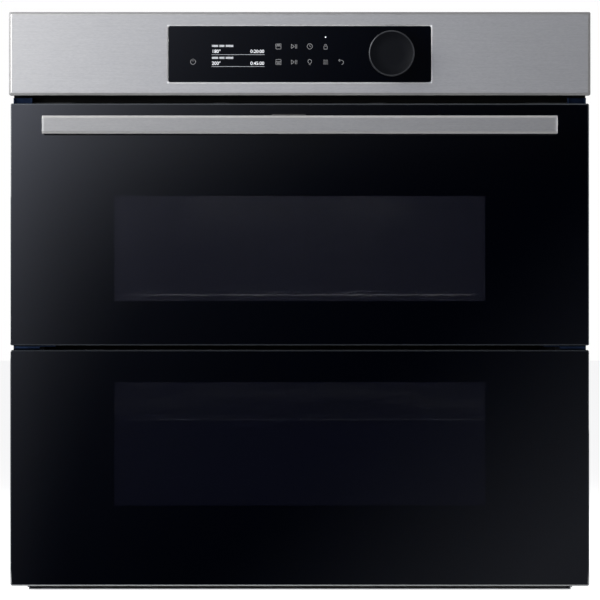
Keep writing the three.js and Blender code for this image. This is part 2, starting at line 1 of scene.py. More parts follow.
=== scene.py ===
# %% [markdown]
# # A built-in oven whose door opens whole or by halves
#
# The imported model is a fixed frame: sixty plain solids that already fit and move. This notebook puts the
# real surfaces over them. A new piece is worked out as whole numpy arrays in the frame's own metres, so it
# never has to be fitted, and it stands for the solid whose place it takes.
#
# The other way would be to model by hand in the viewport. Code is better here, because the sizes come from
# the frame and a changed part only needs the script run again.

# %% Load the frame and keep its box
import json

import bmesh
import bpy
import numpy as np
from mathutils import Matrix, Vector


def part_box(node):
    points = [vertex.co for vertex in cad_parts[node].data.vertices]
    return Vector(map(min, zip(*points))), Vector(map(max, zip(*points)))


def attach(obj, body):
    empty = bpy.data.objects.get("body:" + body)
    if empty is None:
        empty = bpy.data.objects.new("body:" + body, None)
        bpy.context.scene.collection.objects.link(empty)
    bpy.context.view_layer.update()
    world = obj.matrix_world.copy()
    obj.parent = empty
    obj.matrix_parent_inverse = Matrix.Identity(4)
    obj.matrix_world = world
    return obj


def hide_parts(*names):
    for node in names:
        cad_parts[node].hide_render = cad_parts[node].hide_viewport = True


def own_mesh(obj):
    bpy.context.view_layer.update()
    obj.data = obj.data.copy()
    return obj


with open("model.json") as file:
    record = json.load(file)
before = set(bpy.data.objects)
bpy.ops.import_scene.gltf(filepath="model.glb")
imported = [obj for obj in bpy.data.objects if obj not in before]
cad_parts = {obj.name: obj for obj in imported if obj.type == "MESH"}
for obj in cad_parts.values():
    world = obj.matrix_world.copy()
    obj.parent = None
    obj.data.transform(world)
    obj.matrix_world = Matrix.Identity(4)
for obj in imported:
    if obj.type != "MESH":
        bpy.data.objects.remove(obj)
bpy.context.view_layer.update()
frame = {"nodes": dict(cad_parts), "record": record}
MM = 0.001
BODY_OF = {
    node: body for body, nodes in frame["record"]["behaviour"]["bodies"].items() for node in nodes
}
SLOT_OF = {row["node"]: row["material_slot"] for row in frame["record"]["subparts"]}


# %% [markdown]
# ## Reading places from the frame
#
# A surface takes its place from the solid it stands for. `span` gives a solid's two corners, and `middle`
# its centre. Only what lies inside those corners is typed here, so the looks can't drift away from the parts.

# %% Measures
def span(node):
    """The lowest and the highest corner of a solid, as a 2 x 3 array in metres."""
    return np.array([list(corner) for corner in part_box(node)])


def middle(node):
    """The centre of a solid's box."""
    return span(node).mean(0)


fascia = span("control_fascia")
upper_pane = span("upper_outer_glass")
lower_pane = span("lower_outer_glass")
FRONT_Y = fascia[0, 1]
BODY_Y = span("front_frame")[0, 1]
print("front face at y =", round(FRONT_Y, 4), "flange at y =", round(BODY_Y, 4))


# %% [markdown]
# ## From arrays to meshes
#
# A shape here is a stack of rings. Each ring has the same number of points, so neighbouring rings are
# joined by four-sided faces. The ends are closed by one flat face each, or the last ring is joined to the
# first, which makes a frame with a hole. The same few lines serve panes, bars, tubes and turned parts.
#
# Blender's primitives and booleans could make these too, but they leave uneven faces that shade badly.

# %% Rings to faces
def loft(rings, closed=False):
    """Joins rings of points, an array (k, n, 3), into (points, faces). Face (i, j) runs from point j to
    j + 1 of ring i and on to ring i + 1. Open stacks get a flat face at each end."""
    rings = np.asarray(rings, float)
    count, around = rings.shape[:2]
    i = np.arange(count if closed else count - 1)[:, None]
    j = np.arange(around)[None, :]
    ahead, beside = (i + 1) % count, (j + 1) % around
    quads = np.stack([i * around + j, i * around + beside, ahead * around + beside, ahead * around + j], -1)
    faces = quads.reshape(-1, 4).tolist()
    if not closed:
        faces.append(list(range(around))[::-1])
        faces.append(list(range((count - 1) * around, count * around)))
    return rings.reshape(-1, 3), faces


def combine(parts):
    """Puts several (points, faces) into one, with the face numbers moved up by the points before them."""
    points, faces, start = [], [], 0
    for p, f in parts:
        points.append(p)
        faces += [[start + v for v in face] for face in f]
        start += len(p)
    return np.concatenate(points), faces


def adopt(name, mesh, material, node=None, body=None, slot=None, flat_angle=35):
    """Smooths what is rounder than flat_angle, makes an object at the origin, parents it to the empty of the
    body it rides on, and hides the solid it stands for."""
    mesh.shade_smooth()
    mesh.set_sharp_from_angle(angle=np.radians(flat_angle))
    mesh.materials.append(material)
    piece = bpy.data.objects.new(name, mesh)
    bpy.context.collection.objects.link(piece)
    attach(piece, body or BODY_OF[node])
    if node:
        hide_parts(node)
    return piece


def finish_piece(name, shape, material, node=None, **options):
    """Makes a mesh of (points, faces) and turns its faces outwards."""
    mesh = bpy.data.meshes.new(name)
    mesh.from_pydata(shape[0].tolist(), [], shape[1])
    sheet = bmesh.new()
    sheet.from_mesh(mesh)
    bmesh.ops.remove_doubles(sheet, verts=sheet.verts, dist=1e-7)
    bmesh.ops.recalc_face_normals(sheet, faces=sheet.faces)
    sheet.to_mesh(mesh)
    sheet.free()
    return adopt(name, mesh, material, node, **options)


# %% [markdown]
# ## Outlines and edges
#
# Real edges are never sharp: glass has a ground arris, sheet has a small radius. A quarter circle of
# insets carries an outline round the edge, and the light then draws a thin line along it.

# %% Outlines
def rounded_rect(a, b, radius, per_corner=5):
    """A rectangle from a[0] to a[1] and b[0] to b[1]. Each corner is a quarter circle: centre plus radius
    times (cos t, sin t), with t running through a quarter turn."""
    t = np.linspace(0, np.pi / 2, per_corner)
    corners = []
    for turn, (ca, cb) in enumerate([(a[1], b[1]), (a[0], b[1]), (a[0], b[0]), (a[1], b[0])]):
        inward = np.array([np.sign(np.mean(a) - ca), np.sign(np.mean(b) - cb)]) * radius
        angle = t + turn * np.pi / 2
        corners.append(np.stack([ca + inward[0] + radius * np.cos(angle),
                                 cb + inward[1] + radius * np.sin(angle)], -1))
    return np.concatenate(corners)


AXES = {"x": (1, 2, 0), "y": (0, 2, 1), "z": (0, 1, 2)}


def stand(outline, along, axis):
    """Places a flat outline, or one outline for each value of along, across an axis."""
    along = np.atleast_1d(along)
    outline = np.broadcast_to(outline, (len(along),) + np.shape(outline)[-2:])
    ring = np.empty(outline.shape[:2] + (3,))
    first, second, third = AXES[axis]
    ring[..., first] = outline[..., 0]
    ring[..., second] = outline[..., 1]
    ring[..., third] = along[:, None]
    return ring


def soft_box(x, y, z, edge=0.6 * MM, corner=2 * MM, axis="y", steps=4):
    """A block whose outline across axis has round corners and whose two ends have round edges. Going round
    an edge by angle t, the outline shrinks by edge (1 - cos t) while the depth gains edge (1 - sin t)."""
    spans = [np.sort(np.asarray(v, float)) for v in (x, y, z)]
    first, second, third = AXES[axis]
    a, b, depth = spans[first], spans[second], spans[third]
    t = np.linspace(np.pi / 2, 0, steps)
    inset = edge * (1 - np.cos(t))
    rise = edge * (1 - np.sin(t))
    insets = np.concatenate([inset, inset[::-1]])
    depths = np.concatenate([depth[0] + rise, depth[1] - rise[::-1]])
    corner = max(corner, edge * 1.02)
    rings = [rounded_rect((a[0] + i, a[1] - i), (b[0] + i, b[1] - i), corner - i) for i in insets]
    return loft(stand(np.array(rings), depths, axis))


def turned(profile, centre, axis="y", around=48, closed=False):
    """A turned part. Each (radius, height) of the profile becomes a circle round the axis. A profile that
    starts or ends on the axis is closed there by its flat face; a closed profile makes a hoop."""
    profile = np.asarray(profile, float)
    t = np.linspace(0, 2 * np.pi, around, endpoint=False)
    circle = np.stack([np.cos(t), np.sin(t)], -1)
    first, second, third = AXES[axis]
    across = np.asarray(centre, float)[[first, second]]
    outlines = across + np.maximum(profile[:, :1, None], 1e-5) * circle
    return loft(stand(outlines, profile[:, 1] + centre[third], axis), closed)


def heading(line, closed=False):
    """The direction of travel at each point of a line: from the point before it to the one after, made
    one long."""
    ahead = np.roll(line, -1, 0) - np.roll(line, 1, 0) if closed else np.gradient(line, axis=0)
    return ahead / np.maximum(np.linalg.norm(ahead, axis=1, keepdims=True), 1e-9)


def normals(line, closed=False):
    """The heading of a flat line turned by a quarter: (a, b) becomes (-b, a)."""
    return heading(line, closed)[:, ::-1] * (-1, 1)


def strip(line, left, right):
    """The outline of a bent strip: a line set off by left and by right along its normals."""
    return np.concatenate([line + normals(line) * left, (line + normals(line) * right)[::-1]])


def tube(path, radius, sides=10, closed=False, up=(0, 0, 1)):
    """A round wire along points, whose radius may vary. At each point the ring lies across the direction of
    travel: its two axes are the cross products of that direction with a fixed one and with each other."""
    path = np.asarray(path, float)
    ahead = heading(path, closed)
    side = np.cross(ahead, up)
    side /= np.linalg.norm(side, axis=1, keepdims=True)
    over = np.cross(side, ahead)
    t = np.linspace(0, 2 * np.pi, sides, endpoint=False)[None, :, None]
    rings = path[:, None] + radius * (np.cos(t) * side[:, None] + np.sin(t) * over[:, None])
    return loft(rings, closed)


print("a test pane has", len(soft_box((0, 1), (0, 1), (0, 1))[1]), "faces")


# %% [markdown]
# ## Shader arithmetic
#
# A material is a small formula over the surface: where the grain runs, where the print ends. Written with
# nodes by hand it is hard to read, so `Value` wraps a socket and lets Python operators add the Math nodes.
# `Recipe.add` makes any other node from its type, its settings and what goes into its sockets.

# %% Value and Recipe
def operator(operation):
    """A method that adds one Math node with that operation."""
    return lambda self, *others: self.math(operation, *others)


class Value:
    """A socket that can be added, multiplied and compared."""

    def __init__(self, recipe, socket):
        self.recipe, self.socket = recipe, socket

    def math(self, operation, *others):
        """One Math node with this value and others as its inputs."""
        inputs = {str(i): v for i, v in enumerate([self, *others])}
        return self.recipe.add("ShaderNodeMath", {"operation": operation}, inputs)

    def __rsub__(self, other):
        return self * -1.0 + other

    __add__ = __radd__ = operator("ADD")
    __sub__ = operator("SUBTRACT")
    __mul__ = __rmul__ = operator("MULTIPLY")
    __pow__ = operator("POWER")
    __lt__ = operator("LESS_THAN")
    __gt__ = operator("GREATER_THAN")
    __abs__ = operator("ABSOLUTE")


class Recipe:
    """One material with its Principled shader."""

    def __init__(self, name, **constants):
        self.material = bpy.data.materials.new(name)
        self.material.use_nodes = True
        self.tree = self.material.node_tree
        self.shader = self.tree.nodes["Principled BSDF"]
        for socket, value in constants.items():
            self.set(self.shader, socket.replace("_", " "), value)

    def socket(self, sockets, key):
        """Finds a socket by number, identifier or name."""
        if key.isdigit():
            return sockets[int(key)]
        matches = [s for s in sockets if s.identifier == key] or [s for s in sockets if s.name == key]
        return matches[0]

    def set(self, node, key, value):
        """Links a Value to a socket, or sets a plain number, colour or vector on it."""
        target = self.socket(node.inputs, key)
        if isinstance(value, Value):
            self.tree.links.new(value.socket, target)
        elif isinstance(value, (tuple, list)) and target.type == "RGBA":
            target.default_value = (*value[:3], 1)
        else:
            target.default_value = value

    def add(self, kind, settings=None, inputs=None, output="0"):
        """Adds a node, sets its settings first and then its sockets, and gives one output as a Value."""
        node = self.tree.nodes.new(kind)
        for key, value in (settings or {}).items():
            setattr(node, key, value)
        for key, value in (inputs or {}).items():
            self.set(node, key, value)
        return Value(self, self.socket(node.outputs, output))

    def feed(self, **sockets):
        """Feeds values into the Principled shader."""
        for key, value in sockets.items():
            self.set(self.shader, key.replace("_", " "), value)
        return self

    def place(self, scale=(1, 1, 1)):
        """Object coordinates, stretched."""
        here = self.add("ShaderNodeTexCoord", output="Object")
        return self.add("ShaderNodeMapping", None, {"Vector": here, "Scale": scale})

    def axes(self):
        """The three object coordinates as separate values."""
        here = self.add("ShaderNodeTexCoord", output="Object")
        split = self.add("ShaderNodeSeparateXYZ", None, {"Vector": here})
        return [Value(self, output) for output in split.socket.node.outputs]

    def noise(self, scale, detail=2.0, stretch=(1, 1, 1), roughness=0.5):
        """Noise over the object, from 0 to 1."""
        inputs = {"Vector": self.place(stretch), "Scale": scale, "Detail": detail, "Roughness": roughness}
        return self.add("ShaderNodeTexNoise", None, inputs, "Fac")

    def cells(self, scale, randomness=1.0, output="Distance"):
        """The distance to the nearest of many scattered points, or that point's own random colour."""
        inputs = {"Vector": self.place(), "Scale": scale, "Randomness": randomness}
        return self.add("ShaderNodeTexVoronoi", {"feature": "F1"}, inputs, output)

    def spread(self, value, low, high, to_low=0.0, to_high=1.0):
        """Maps low..high to to_low..to_high and clamps the ends."""
        names = ["Value", "From Min", "From Max", "To Min", "To Max"]
        inputs = dict(zip(names, [value, low, high, to_low, to_high]))
        return self.add("ShaderNodeMapRange", {"clamp": True}, inputs)

    def blend(self, factor, first, second):
        """Mixes two colours."""
        inputs = {"Factor_Float": factor, "A_Color": first, "B_Color": second}
        return self.add("ShaderNodeMix", {"data_type": "RGBA"}, inputs, "Result_Color")

    def bump(self, height, distance, strength=1.0):
        """A Bump node over height."""
        inputs = {"Height": height, "Distance": distance, "Strength": strength}
        return self.add("ShaderNodeBump", None, inputs, "Normal")


# %% [markdown]
# ## Camera, floor and light
#
# The oven is seen square from the front, from far enough away that its sides don't show. A long lens does
# that. The black doors are mirrors, so what they show is decided by what stands behind the camera: one big
# card whose light falls off from its upper left corner. Only the glass sees it; the camera doesn't.
#
# The floor is plain and pale. It is kept out of the mirror images, as a black cloth laid before a glass
# door would do in a studio.

# %% Camera
FRONT_MIDDLE = Vector((0, FRONT_Y, 0.5 * (fascia[1, 2] + lower_pane[0, 2])))
CAMERA_AWAY = 8.0
FIELD = 0.6139  # width of the view at the front of the doors
SHIFT_X, SHIFT_Z = 0.26 * MM, -1.02 * MM  # how far the view's centre lies from the front's
SENSOR = 36.0
lens = bpy.data.cameras.new("camera")
lens.sensor_width = SENSOR
lens.lens = SENSOR * CAMERA_AWAY / FIELD
camera = bpy.data.objects.new("camera", lens)
camera.location = FRONT_MIDDLE + Vector((SHIFT_X, -CAMERA_AWAY, SHIFT_Z))
camera.rotation_euler = (np.pi / 2, 0, 0)
bpy.context.collection.objects.link(camera)
bpy.context.scene.camera = camera
bpy.context.scene.view_settings.view_transform = "Standard"
print("lens", round(lens.lens, 1), "mm at", CAMERA_AWAY, "m")


# %% Floor, world and lamps
def stage_plane(name, centre, right, up, material):
    """A flat rectangle given by its centre and its two half sides."""
    centre, right, up = (np.array(v, float) for v in (centre, right, up))
    mesh = bpy.data.meshes.new(name)
    corners = [centre - right - up, centre + right - up, centre + right + up, centre - right + up]
    mesh.from_pydata([c.tolist() for c in corners], [], [(0, 1, 2, 3)])
    mesh.materials.append(material)
    plane = bpy.data.objects.new(name, mesh)
    bpy.context.collection.objects.link(plane)
    return plane


def glowing(name, colour_of):
    """A stage material that only gives off light, as strong as colour_of says over its surface."""
    recipe = Recipe(name, Base_Color=(0, 0, 0), Roughness=1.0, Specular_IOR_Level=0.0)
    recipe.feed(Emission_Color=colour_of(recipe), Emission_Strength=1.0)
    return recipe.material


floor_paint = Recipe("floor_paint", Base_Color=(0.93, 0.93, 0.93), Roughness=0.9)
floor_paint.feed(Emission_Color=(1.0, 1.0, 1.0), Emission_Strength=0.75)
floor = stage_plane("floor", (0, 0, -0.5 * MM), (30, 0, 0), (0, 30, 0), floor_paint.material)
floor.visible_glossy = False

world = bpy.data.worlds.new("studio")
bpy.context.scene.world = world
world.use_nodes = True
world_nodes = world.node_tree.nodes
ray = world_nodes.new("ShaderNodeLightPath")
backdrop = world_nodes["Background"]
spread_light = world_nodes.new("ShaderNodeMix")
spread_light.data_type = "RGBA"
ambient, backdrop_white = [socket for socket in spread_light.inputs if socket.type == "RGBA"]
ambient.default_value = (0.18, 0.18, 0.19, 1)
backdrop_white.default_value = (1, 1, 1, 1)
world.node_tree.links.new(ray.outputs["Is Camera Ray"], spread_light.inputs[0])
mixed = next(socket for socket in spread_light.outputs if socket.type == "RGBA")
world.node_tree.links.new(mixed, backdrop.inputs["Color"])


CARD_LEFT, CARD_TOP = -0.459, 0.549  # where the card is brightest
ON_DOORS = 0.628  # how far one metre on the card moves its mirror image on the doors


def card_light(recipe):
    """Bright at the upper left and dying away from there: 1.6 times e to the power of minus t, where t grows
    with the way to the right and the way down. A second, weaker patch grows towards the lower right."""
    x, _, z = recipe.axes()
    right_of = (x - CARD_LEFT) * ON_DOORS
    below = (CARD_TOP - z) * ON_DOORS
    both = (right_of * below * 45.0).math("MINIMUM", 1.0).math("MAXIMUM", 0.0)
    left = ((right_of * 8.5 + below * 6.4 + both) * -1.0).math("EXPONENT") * 1.6
    right = recipe.spread(x * ON_DOORS - z * 0.597, -0.025, 0.335) ** 1.6 * 0.26
    return recipe.blend((left + right) * 0.5, (0, 0, 0), (1.90, 2.0, 2.34))


card = stage_plane("mirror_card", (0, -5.0, 0.3), (1.6, 0, 0), (0, 0, 1.6), glowing("card_light", card_light))
card.visible_camera = False
card.visible_diffuse = False
card.visible_shadow = False


def lamp(name, place, aim, width, height, power):
    """A rectangular studio lamp that looks at a point. The camera doesn't see it."""
    light = bpy.data.lights.new(name, "AREA")
    light.shape = "RECTANGLE"
    light.size, light.size_y = width, height
    light.energy = power
    holder = bpy.data.objects.new(name, light)
    holder.location = place
    holder.rotation_euler = (Vector(aim) - Vector(place)).to_track_quat("-Z", "Y").to_euler()
    holder.visible_camera = False
    bpy.context.collection.objects.link(holder)
    return holder


AIM = (0, 0, 0.3)
lamp("key_left", (-1.0, -1.15, 0.95), AIM, 0.7, 1.1, 22)
lamp("fill_left", (-2.6, -2.2, 1.7), AIM, 1.4, 1.8, 12)
lamp("fill_right", (2.4, -2.4, 1.0), AIM, 1.2, 1.6, 1.5)
lamp("top", (0, -0.6, 3.0), AIM, 2.0, 2.0, 13)
lamp("in_upper", (0, -0.195, 0.425), (0, 0.1, 0.26), 0.34, 0.012, 0.6)
lamp("in_lower", (0, -0.195, 0.235), (0, 0.1, 0.12), 0.34, 0.012, 0.14)
lamp("on_rack", (0, -0.214, 0.290), (0, 0.0, 0.34), 0.36, 0.006, 0.026)
lamp("on_tray", (0, -0.213, 0.192), (0, -0.1, 0.15), 0.40, 0.006, 0.035)
lamp("back_left", (-2.2, 2.4, 0.9), AIM, 1.4, 1.4, 42)
lamp("back_right", (2.4, 2.2, 0.8), AIM, 1.4, 1.4, 34)
lamp("side_right", (3.2, 0.1, 1.0), AIM, 1.4, 1.4, 18)


# %% [markdown]
# ## Finishes
#
# Each finish is one function of the surface, named for what it is in the factory: brushed stainless steel,
# galvanised sheet, fired enamel, printed glass, moulded plastic. Colour, roughness and a shallow bump
# change over the surface at the scale of the real thing: brush lines under a millimetre wide, zinc crystals
# a centimetre wide, enamel specks under a millimetre.
#
# The patterns read Object coordinates. Every piece's object stays at the origin, so the grain doesn't
# slide when a door opens, and nothing has to be unwrapped.

# %% Metals
FINE_LINES, LONG_LINES = (240, 1500, 1500), (28.8, 1050, 1050)  # waves per metre along x, y and z


def brushed_steel(name, tone=0.50, roughness=0.42, painted_edge_light=None):
    """Stainless steel with fine lines along x. An optional function of the recipe gives (mask, tone) pairs:
    where a mask is near 1, on the slopes of an edge, the metal is painted that tone, a painted highlight or a
    painted shade."""
    steel = Recipe(name, Metallic=1.0)
    lines = steel.noise(1.0, 3.0, FINE_LINES, 0.65)
    level = steel.spread(lines * 0.75 + steel.noise(1.0, 2.0, LONG_LINES) * 0.25, 0.22, 0.78)
    dark, light = ([tone * v for v in tint] for tint in ((0.88, 0.865, 0.835), (1.16, 1.14, 1.10)))
    metal = steel.blend(level, dark, light)
    rough = steel.spread(lines, 0.2, 0.8, roughness - 0.07, roughness + 0.09)
    shiny = 1.0
    for edge, painted_tone in painted_edge_light(steel) if painted_edge_light else ():
        metal = steel.blend(edge, metal, (painted_tone, painted_tone, painted_tone * 1.01))
        rough = rough + edge * 0.10
        shiny = shiny - edge * 0.6
        steel.feed(Metallic=shiny)
    return steel.feed(Base_Color=metal, Roughness=rough, Normal=steel.bump(lines, 0.00003, 0.5)).material


def galvanised(name, dark, light, roughness=0.52):
    """Zinc-coated sheet: crystals about a centimetre across, each a little lighter or darker."""
    zinc = Recipe(name, Metallic=0.9)
    shade = zinc.add("ShaderNodeRGBToBW", None, {"Color": zinc.cells(95.0, output="Color")})
    smear = zinc.noise(14.0, 3.0)
    colour = zinc.blend(zinc.spread(shade * 0.85 + smear * 0.15, 0.1, 0.85), dark, light)
    rough = zinc.spread(smear, 0.3, 0.7, roughness - 0.09, roughness + 0.1)
    fine = zinc.bump(zinc.noise(700.0), 0.00003, 0.4)
    return zinc.feed(Base_Color=colour, Roughness=rough, Normal=fine).material


def bright_wire(name):
    """Chrome plating with faint wear in its shine."""
    chrome = Recipe(name, Metallic=1.0)
    wear = chrome.noise(90.0, 4.0)
    colour = chrome.blend(chrome.spread(wear, 0.3, 0.8), (0.62, 0.62, 0.63), (0.42, 0.40, 0.38))
    return chrome.feed(Base_Color=colour, Roughness=chrome.spread(wear, 0.3, 0.75, 0.22, 0.40)).material


def heater_skin(name):
    """The dull sleeve of a heating rod, browned unevenly by heat."""
    rod = Recipe(name, Metallic=0.45)
    scorch = rod.noise(34.0, 4.0)
    colour = rod.blend(rod.spread(scorch, 0.3, 0.7), (0.085, 0.075, 0.068), (0.22, 0.19, 0.165))
    return rod.feed(Base_Color=colour, Roughness=rod.spread(scorch, 0.3, 0.7, 0.58, 0.74),
                    Normal=rod.bump(rod.noise(900.0), 0.00005, 0.5)).material


print("metals ready")


# %% Enamel, paint, plastics and soft materials
def fired_enamel(name, rim_z=None):
    """Glassy dark enamel with pale specks and a slight ripple. Above rim_z it is rubbed to a lighter grey."""
    enamel = Recipe(name, Coat_Weight=0.35, Coat_Roughness=0.06, Metallic=0.0)
    sparse = enamel.noise(160.0, 1.0)
    dots = (enamel.cells(420.0) < 0.16) * (sparse > 0.53)
    ground = enamel.blend(enamel.noise(9.0), (0.020, 0.022, 0.027), (0.032, 0.035, 0.042))
    colour = enamel.blend(dots * 0.5, ground, (0.30, 0.32, 0.35))
    if rim_z:
        rubbed = enamel.spread(enamel.axes()[2], rim_z, rim_z + 0.3 * MM) * enamel.spread(sparse, 0.1, 0.4)
        colour = enamel.blend(rubbed, colour, (0.42, 0.42, 0.43))
    ripple = enamel.noise(60.0)
    return enamel.feed(Base_Color=colour, Roughness=enamel.spread(ripple, 0.3, 0.7, 0.20, 0.34),
                       Normal=enamel.bump(ripple, 0.00012, 0.2)).material


def grained(name, dark, light, roughness=0.5, size=900.0, depth=0.00006, metallic=0.0, shine=0.5):
    """A moulded or powder-coated skin: fine pebbles, with broad patches that are a little shinier."""
    skin = Recipe(name, Metallic=metallic, Specular_IOR_Level=shine)
    pebble = skin.noise(size)
    patch = skin.noise(11.0, 3.0)
    colour = skin.blend(skin.spread(pebble * 0.5 + patch * 0.5, 0.35, 0.65), dark, light)
    rough = skin.spread(patch, 0.3, 0.7, roughness - 0.06, roughness + 0.06)
    return skin.feed(Base_Color=colour, Roughness=rough, Normal=skin.bump(pebble, depth, 0.7)).material


def glass_wool(name):
    """Pressed glass wool: long pale fibres over darker hollows."""
    wool = Recipe(name, Metallic=0.0)
    fibre = wool.noise(1.0, 5.0, (60, 420, 420), 0.7)
    clump = wool.noise(38.0, 4.0)
    mix = wool.spread(fibre * 0.6 + clump * 0.4, 0.32, 0.68)
    colour = wool.blend(mix, (0.30, 0.26, 0.13), (0.74, 0.69, 0.45))
    return wool.feed(Base_Color=colour, Roughness=wool.spread(clump, 0.2, 0.8, 0.88, 1.0),
                     Normal=wool.bump(mix, 0.0012, 0.8)).material


def glass_braid(name):
    """A sleeve braided from glass yarn: two sets of slanting strands that pass over each other."""
    braid = Recipe(name, Metallic=0.0)
    one, two = (braid.add("ShaderNodeTexWave", {"bands_direction": "DIAGONAL"},
                          {"Vector": braid.place((1, 1, slant)), "Scale": 150.0, "Distortion": 0.6}, "Fac")
                for slant in (1, -1))
    weave = one * two
    colour = braid.blend(weave, (0.028, 0.029, 0.031), (0.16, 0.16, 0.165))
    return braid.feed(Base_Color=colour, Roughness=braid.spread(weave, 0, 1, 0.95, 0.75),
                      Normal=braid.bump(weave, 0.0005, 0.8)).material


def circuit_board(name):
    """Green solder mask with copper lines under it and small tinned pads."""
    board = Recipe(name, Metallic=0.0)
    across = board.add("ShaderNodeTexBrick", {"offset": 0.5},
                       {"Vector": board.place(), "Scale": 95.0, "Mortar Size": 0.055,
                        "Color1": (0.012, 0.085, 0.040), "Color2": (0.016, 0.105, 0.050),
                        "Mortar": (0.035, 0.17, 0.075)}, "Color")
    pads = (board.cells(170.0, 0.75) < 0.13) * 1.0
    colour = board.blend(pads, across, (0.55, 0.55, 0.53))
    return board.feed(Base_Color=colour, Metallic=pads * 0.9, Roughness=0.42 - pads * 0.12).material


print("enamel, paint, plastics, wool, braid and boards ready")


# %% [markdown]
# ## Printed glass
#
# The doors' outer panes are clear glass with black ceramic ink fired on their back. The ink leaves a window
# free, and over the window it breaks up into fine dots, so you look through a dark mesh. Two panes stacked
# inside the door reflect a little too.
#
# It could be real refracting glass with an ink layer behind it, which is slow and noisy. Here one surface
# does both: where the ink is solid the surface is opaque, and between the dots its alpha falls.

# %% Glass
WINDOW_HALF = 0.1898
UPPER_WINDOW = (0.2956, 0.4030)
LOWER_WINDOW = (0.0864, 0.2124)
DOT_PITCH = 1.4 * MM


def printed_glass(name, node=None, window=None, window_light_paint=(0, 0, 0), ink=(0.0001, 0.0003, 0.0012), shine=0.5):
    """Glass with black ink on its back, and a paler ground edge. The edge also carries a painted highlight:
    it is painted brighter towards the top of the upper door and along the bottom of the lower door. Inside
    the window, dots on a square grid cover most of the glass, and the window is painted a dark grey-blue that
    stands for light from the oven coming through. With x and z measured from the nearest dot's centre in half
    pitches, the glass opens as x squared plus z squared grows."""
    glass = Recipe(name, Metallic=0.0, IOR=1.5, Specular_IOR_Level=shine)
    haze = glass.noise(5.0, 3.0)
    wipe = glass.noise(26.0, 3.0, (1, 1, 2.5))
    glass.feed(Roughness=glass.spread(haze * 0.6 + wipe * 0.4, 0.35, 0.7, 0.015, 0.05))
    if window is None:
        tint = glass.blend(haze, ink, [1.5 * v for v in ink])
        return glass.feed(Base_Color=tint).material
    x, _, z = glass.axes()
    inside = (abs(x) < WINDOW_HALF) * (z > window[0]) * (z < window[1])
    half = DOT_PITCH / 2
    dx, dz = (v.math("PINGPONG", half) * (1 / half) for v in (x, z))
    open_glass = glass.spread(dx * dx + dz * dz, 0.55, 1.3)
    low, high = span(node)[:, 2]
    border = (abs(x) - span(node)[1, 0]).math("MAXIMUM", abs(z - (low + high) / 2) - (high - low) / 2)
    ground = glass.spread(border, -1.5 * MM, -1.1 * MM)
    # Painted highlight on the ground edge: brighter from z 0.30 up to 0.49, and again below z 0.02.
    edge_grey_and_highlight = glass.blend(glass.spread(z, 0.30, 0.49), (0.013, 0.015, 0.018), (0.045, 0.050, 0.056))
    edge_grey_and_highlight = glass.blend(glass.spread(z, 0.020, 0.010), edge_grey_and_highlight, (0.20, 0.205, 0.21))
    colour = glass.blend(ground, glass.blend(inside, ink, window_light_paint), edge_grey_and_highlight)
    alpha = 1.0 - inside * (open_glass * 0.30 + 0.17)
    return glass.feed(Base_Color=colour, Alpha=alpha).material


def plain_glass(name, tint=(0.012, 0.018, 0.018), cover=0.14):
    """A clear pane: only its reflection and a faint tint show, with light smears."""
    pane = Recipe(name, Metallic=0.0, IOR=1.5)
    smear = pane.noise(9.0, 4.0, (1, 1, 2))
    colour = pane.blend(smear, tint, [1.4 * v for v in tint])
    return pane.feed(Base_Color=colour, Roughness=pane.spread(smear, 0.35, 0.7, 0.02, 0.10),
                     Alpha=pane.spread(smear, 0.3, 0.7, cover - 0.03, cover + 0.03)).material


FINISH = {
    "zinc": galvanised("galvanised_sheet", (0.42, 0.43, 0.445), (0.56, 0.57, 0.585)),
    "arm_zinc": galvanised("blue_passivated_zinc", (0.003, 0.007, 0.020), (0.009, 0.018, 0.042), 0.40),
    "enamel": fired_enamel("speckled_enamel"),
    "stainless": brushed_steel("brushed_stainless"),
    "chrome": bright_wire("chrome_wire"),
    "black_glass": printed_glass("control_glass_ink", shine=0.18),
    "clear_glass": plain_glass("clear_pane"),
    "wool": glass_wool("glass_wool"),
    "black_steel": grained("black_powder_coat", (0.010, 0.011, 0.012), (0.020, 0.021, 0.023), 0.48,
                           metallic=0.2),
    "black_plastic": grained("black_moulding", (0.012, 0.012, 0.013), (0.024, 0.024, 0.025), 0.5),
    "dial_plastic": grained("dial_moulding", (0.0012, 0.0016, 0.0026), (0.0024, 0.0028, 0.0040), 0.40,
                            1500.0, 0.00002, shine=0.10),
    "board": circuit_board("circuit_board"),
    "heater": heater_skin("heating_rod"),
    "braid": glass_braid("braided_sleeve"),
}
for node, thing in frame["nodes"].items():
    thing.data.materials.clear()
    thing.data.materials.append(FINISH[SLOT_OF[node]])
print(len(FINISH), "finishes on", len(frame["nodes"]), "solids")


# %% [markdown]
# ## Sheet metal and mouldings with rounded edges
#
# Most inner parts are already right in shape and only lack their small edge radii: folded sheet, pressed
# brackets, moulded housings. A copy of the frame's solid is merged into one skin, its flat faces are joined,
# and a Bevel modifier rounds what is sharper than 32 degrees.
#
# A modifier keeps this short and even. Working out these edges one by one would add nothing to see.

# %% Rounded copies
def softened(node, width, segments=2):
    """A merged copy of a solid with its sharp edges rounded to the given width."""
    mesh = frame["nodes"][node].data.copy()
    skin = bmesh.new()
    skin.from_mesh(mesh)
    bmesh.ops.remove_doubles(skin, verts=skin.verts, dist=2e-6)
    bmesh.ops.dissolve_limit(skin, angle_limit=np.radians(1), verts=skin.verts, edges=skin.edges)
    skin.to_mesh(mesh)
    skin.free()
    mesh.name = node + "_skin"
    mesh.materials.clear()
    piece = adopt(mesh.name, mesh, FINISH[SLOT_OF[node]], node)
    bevel = piece.modifiers.new("edge", "BEVEL")
    bevel.width = width
    bevel.segments = segments
    bevel.limit_method = "ANGLE"
    bevel.angle_limit = np.radians(32)
    return piece


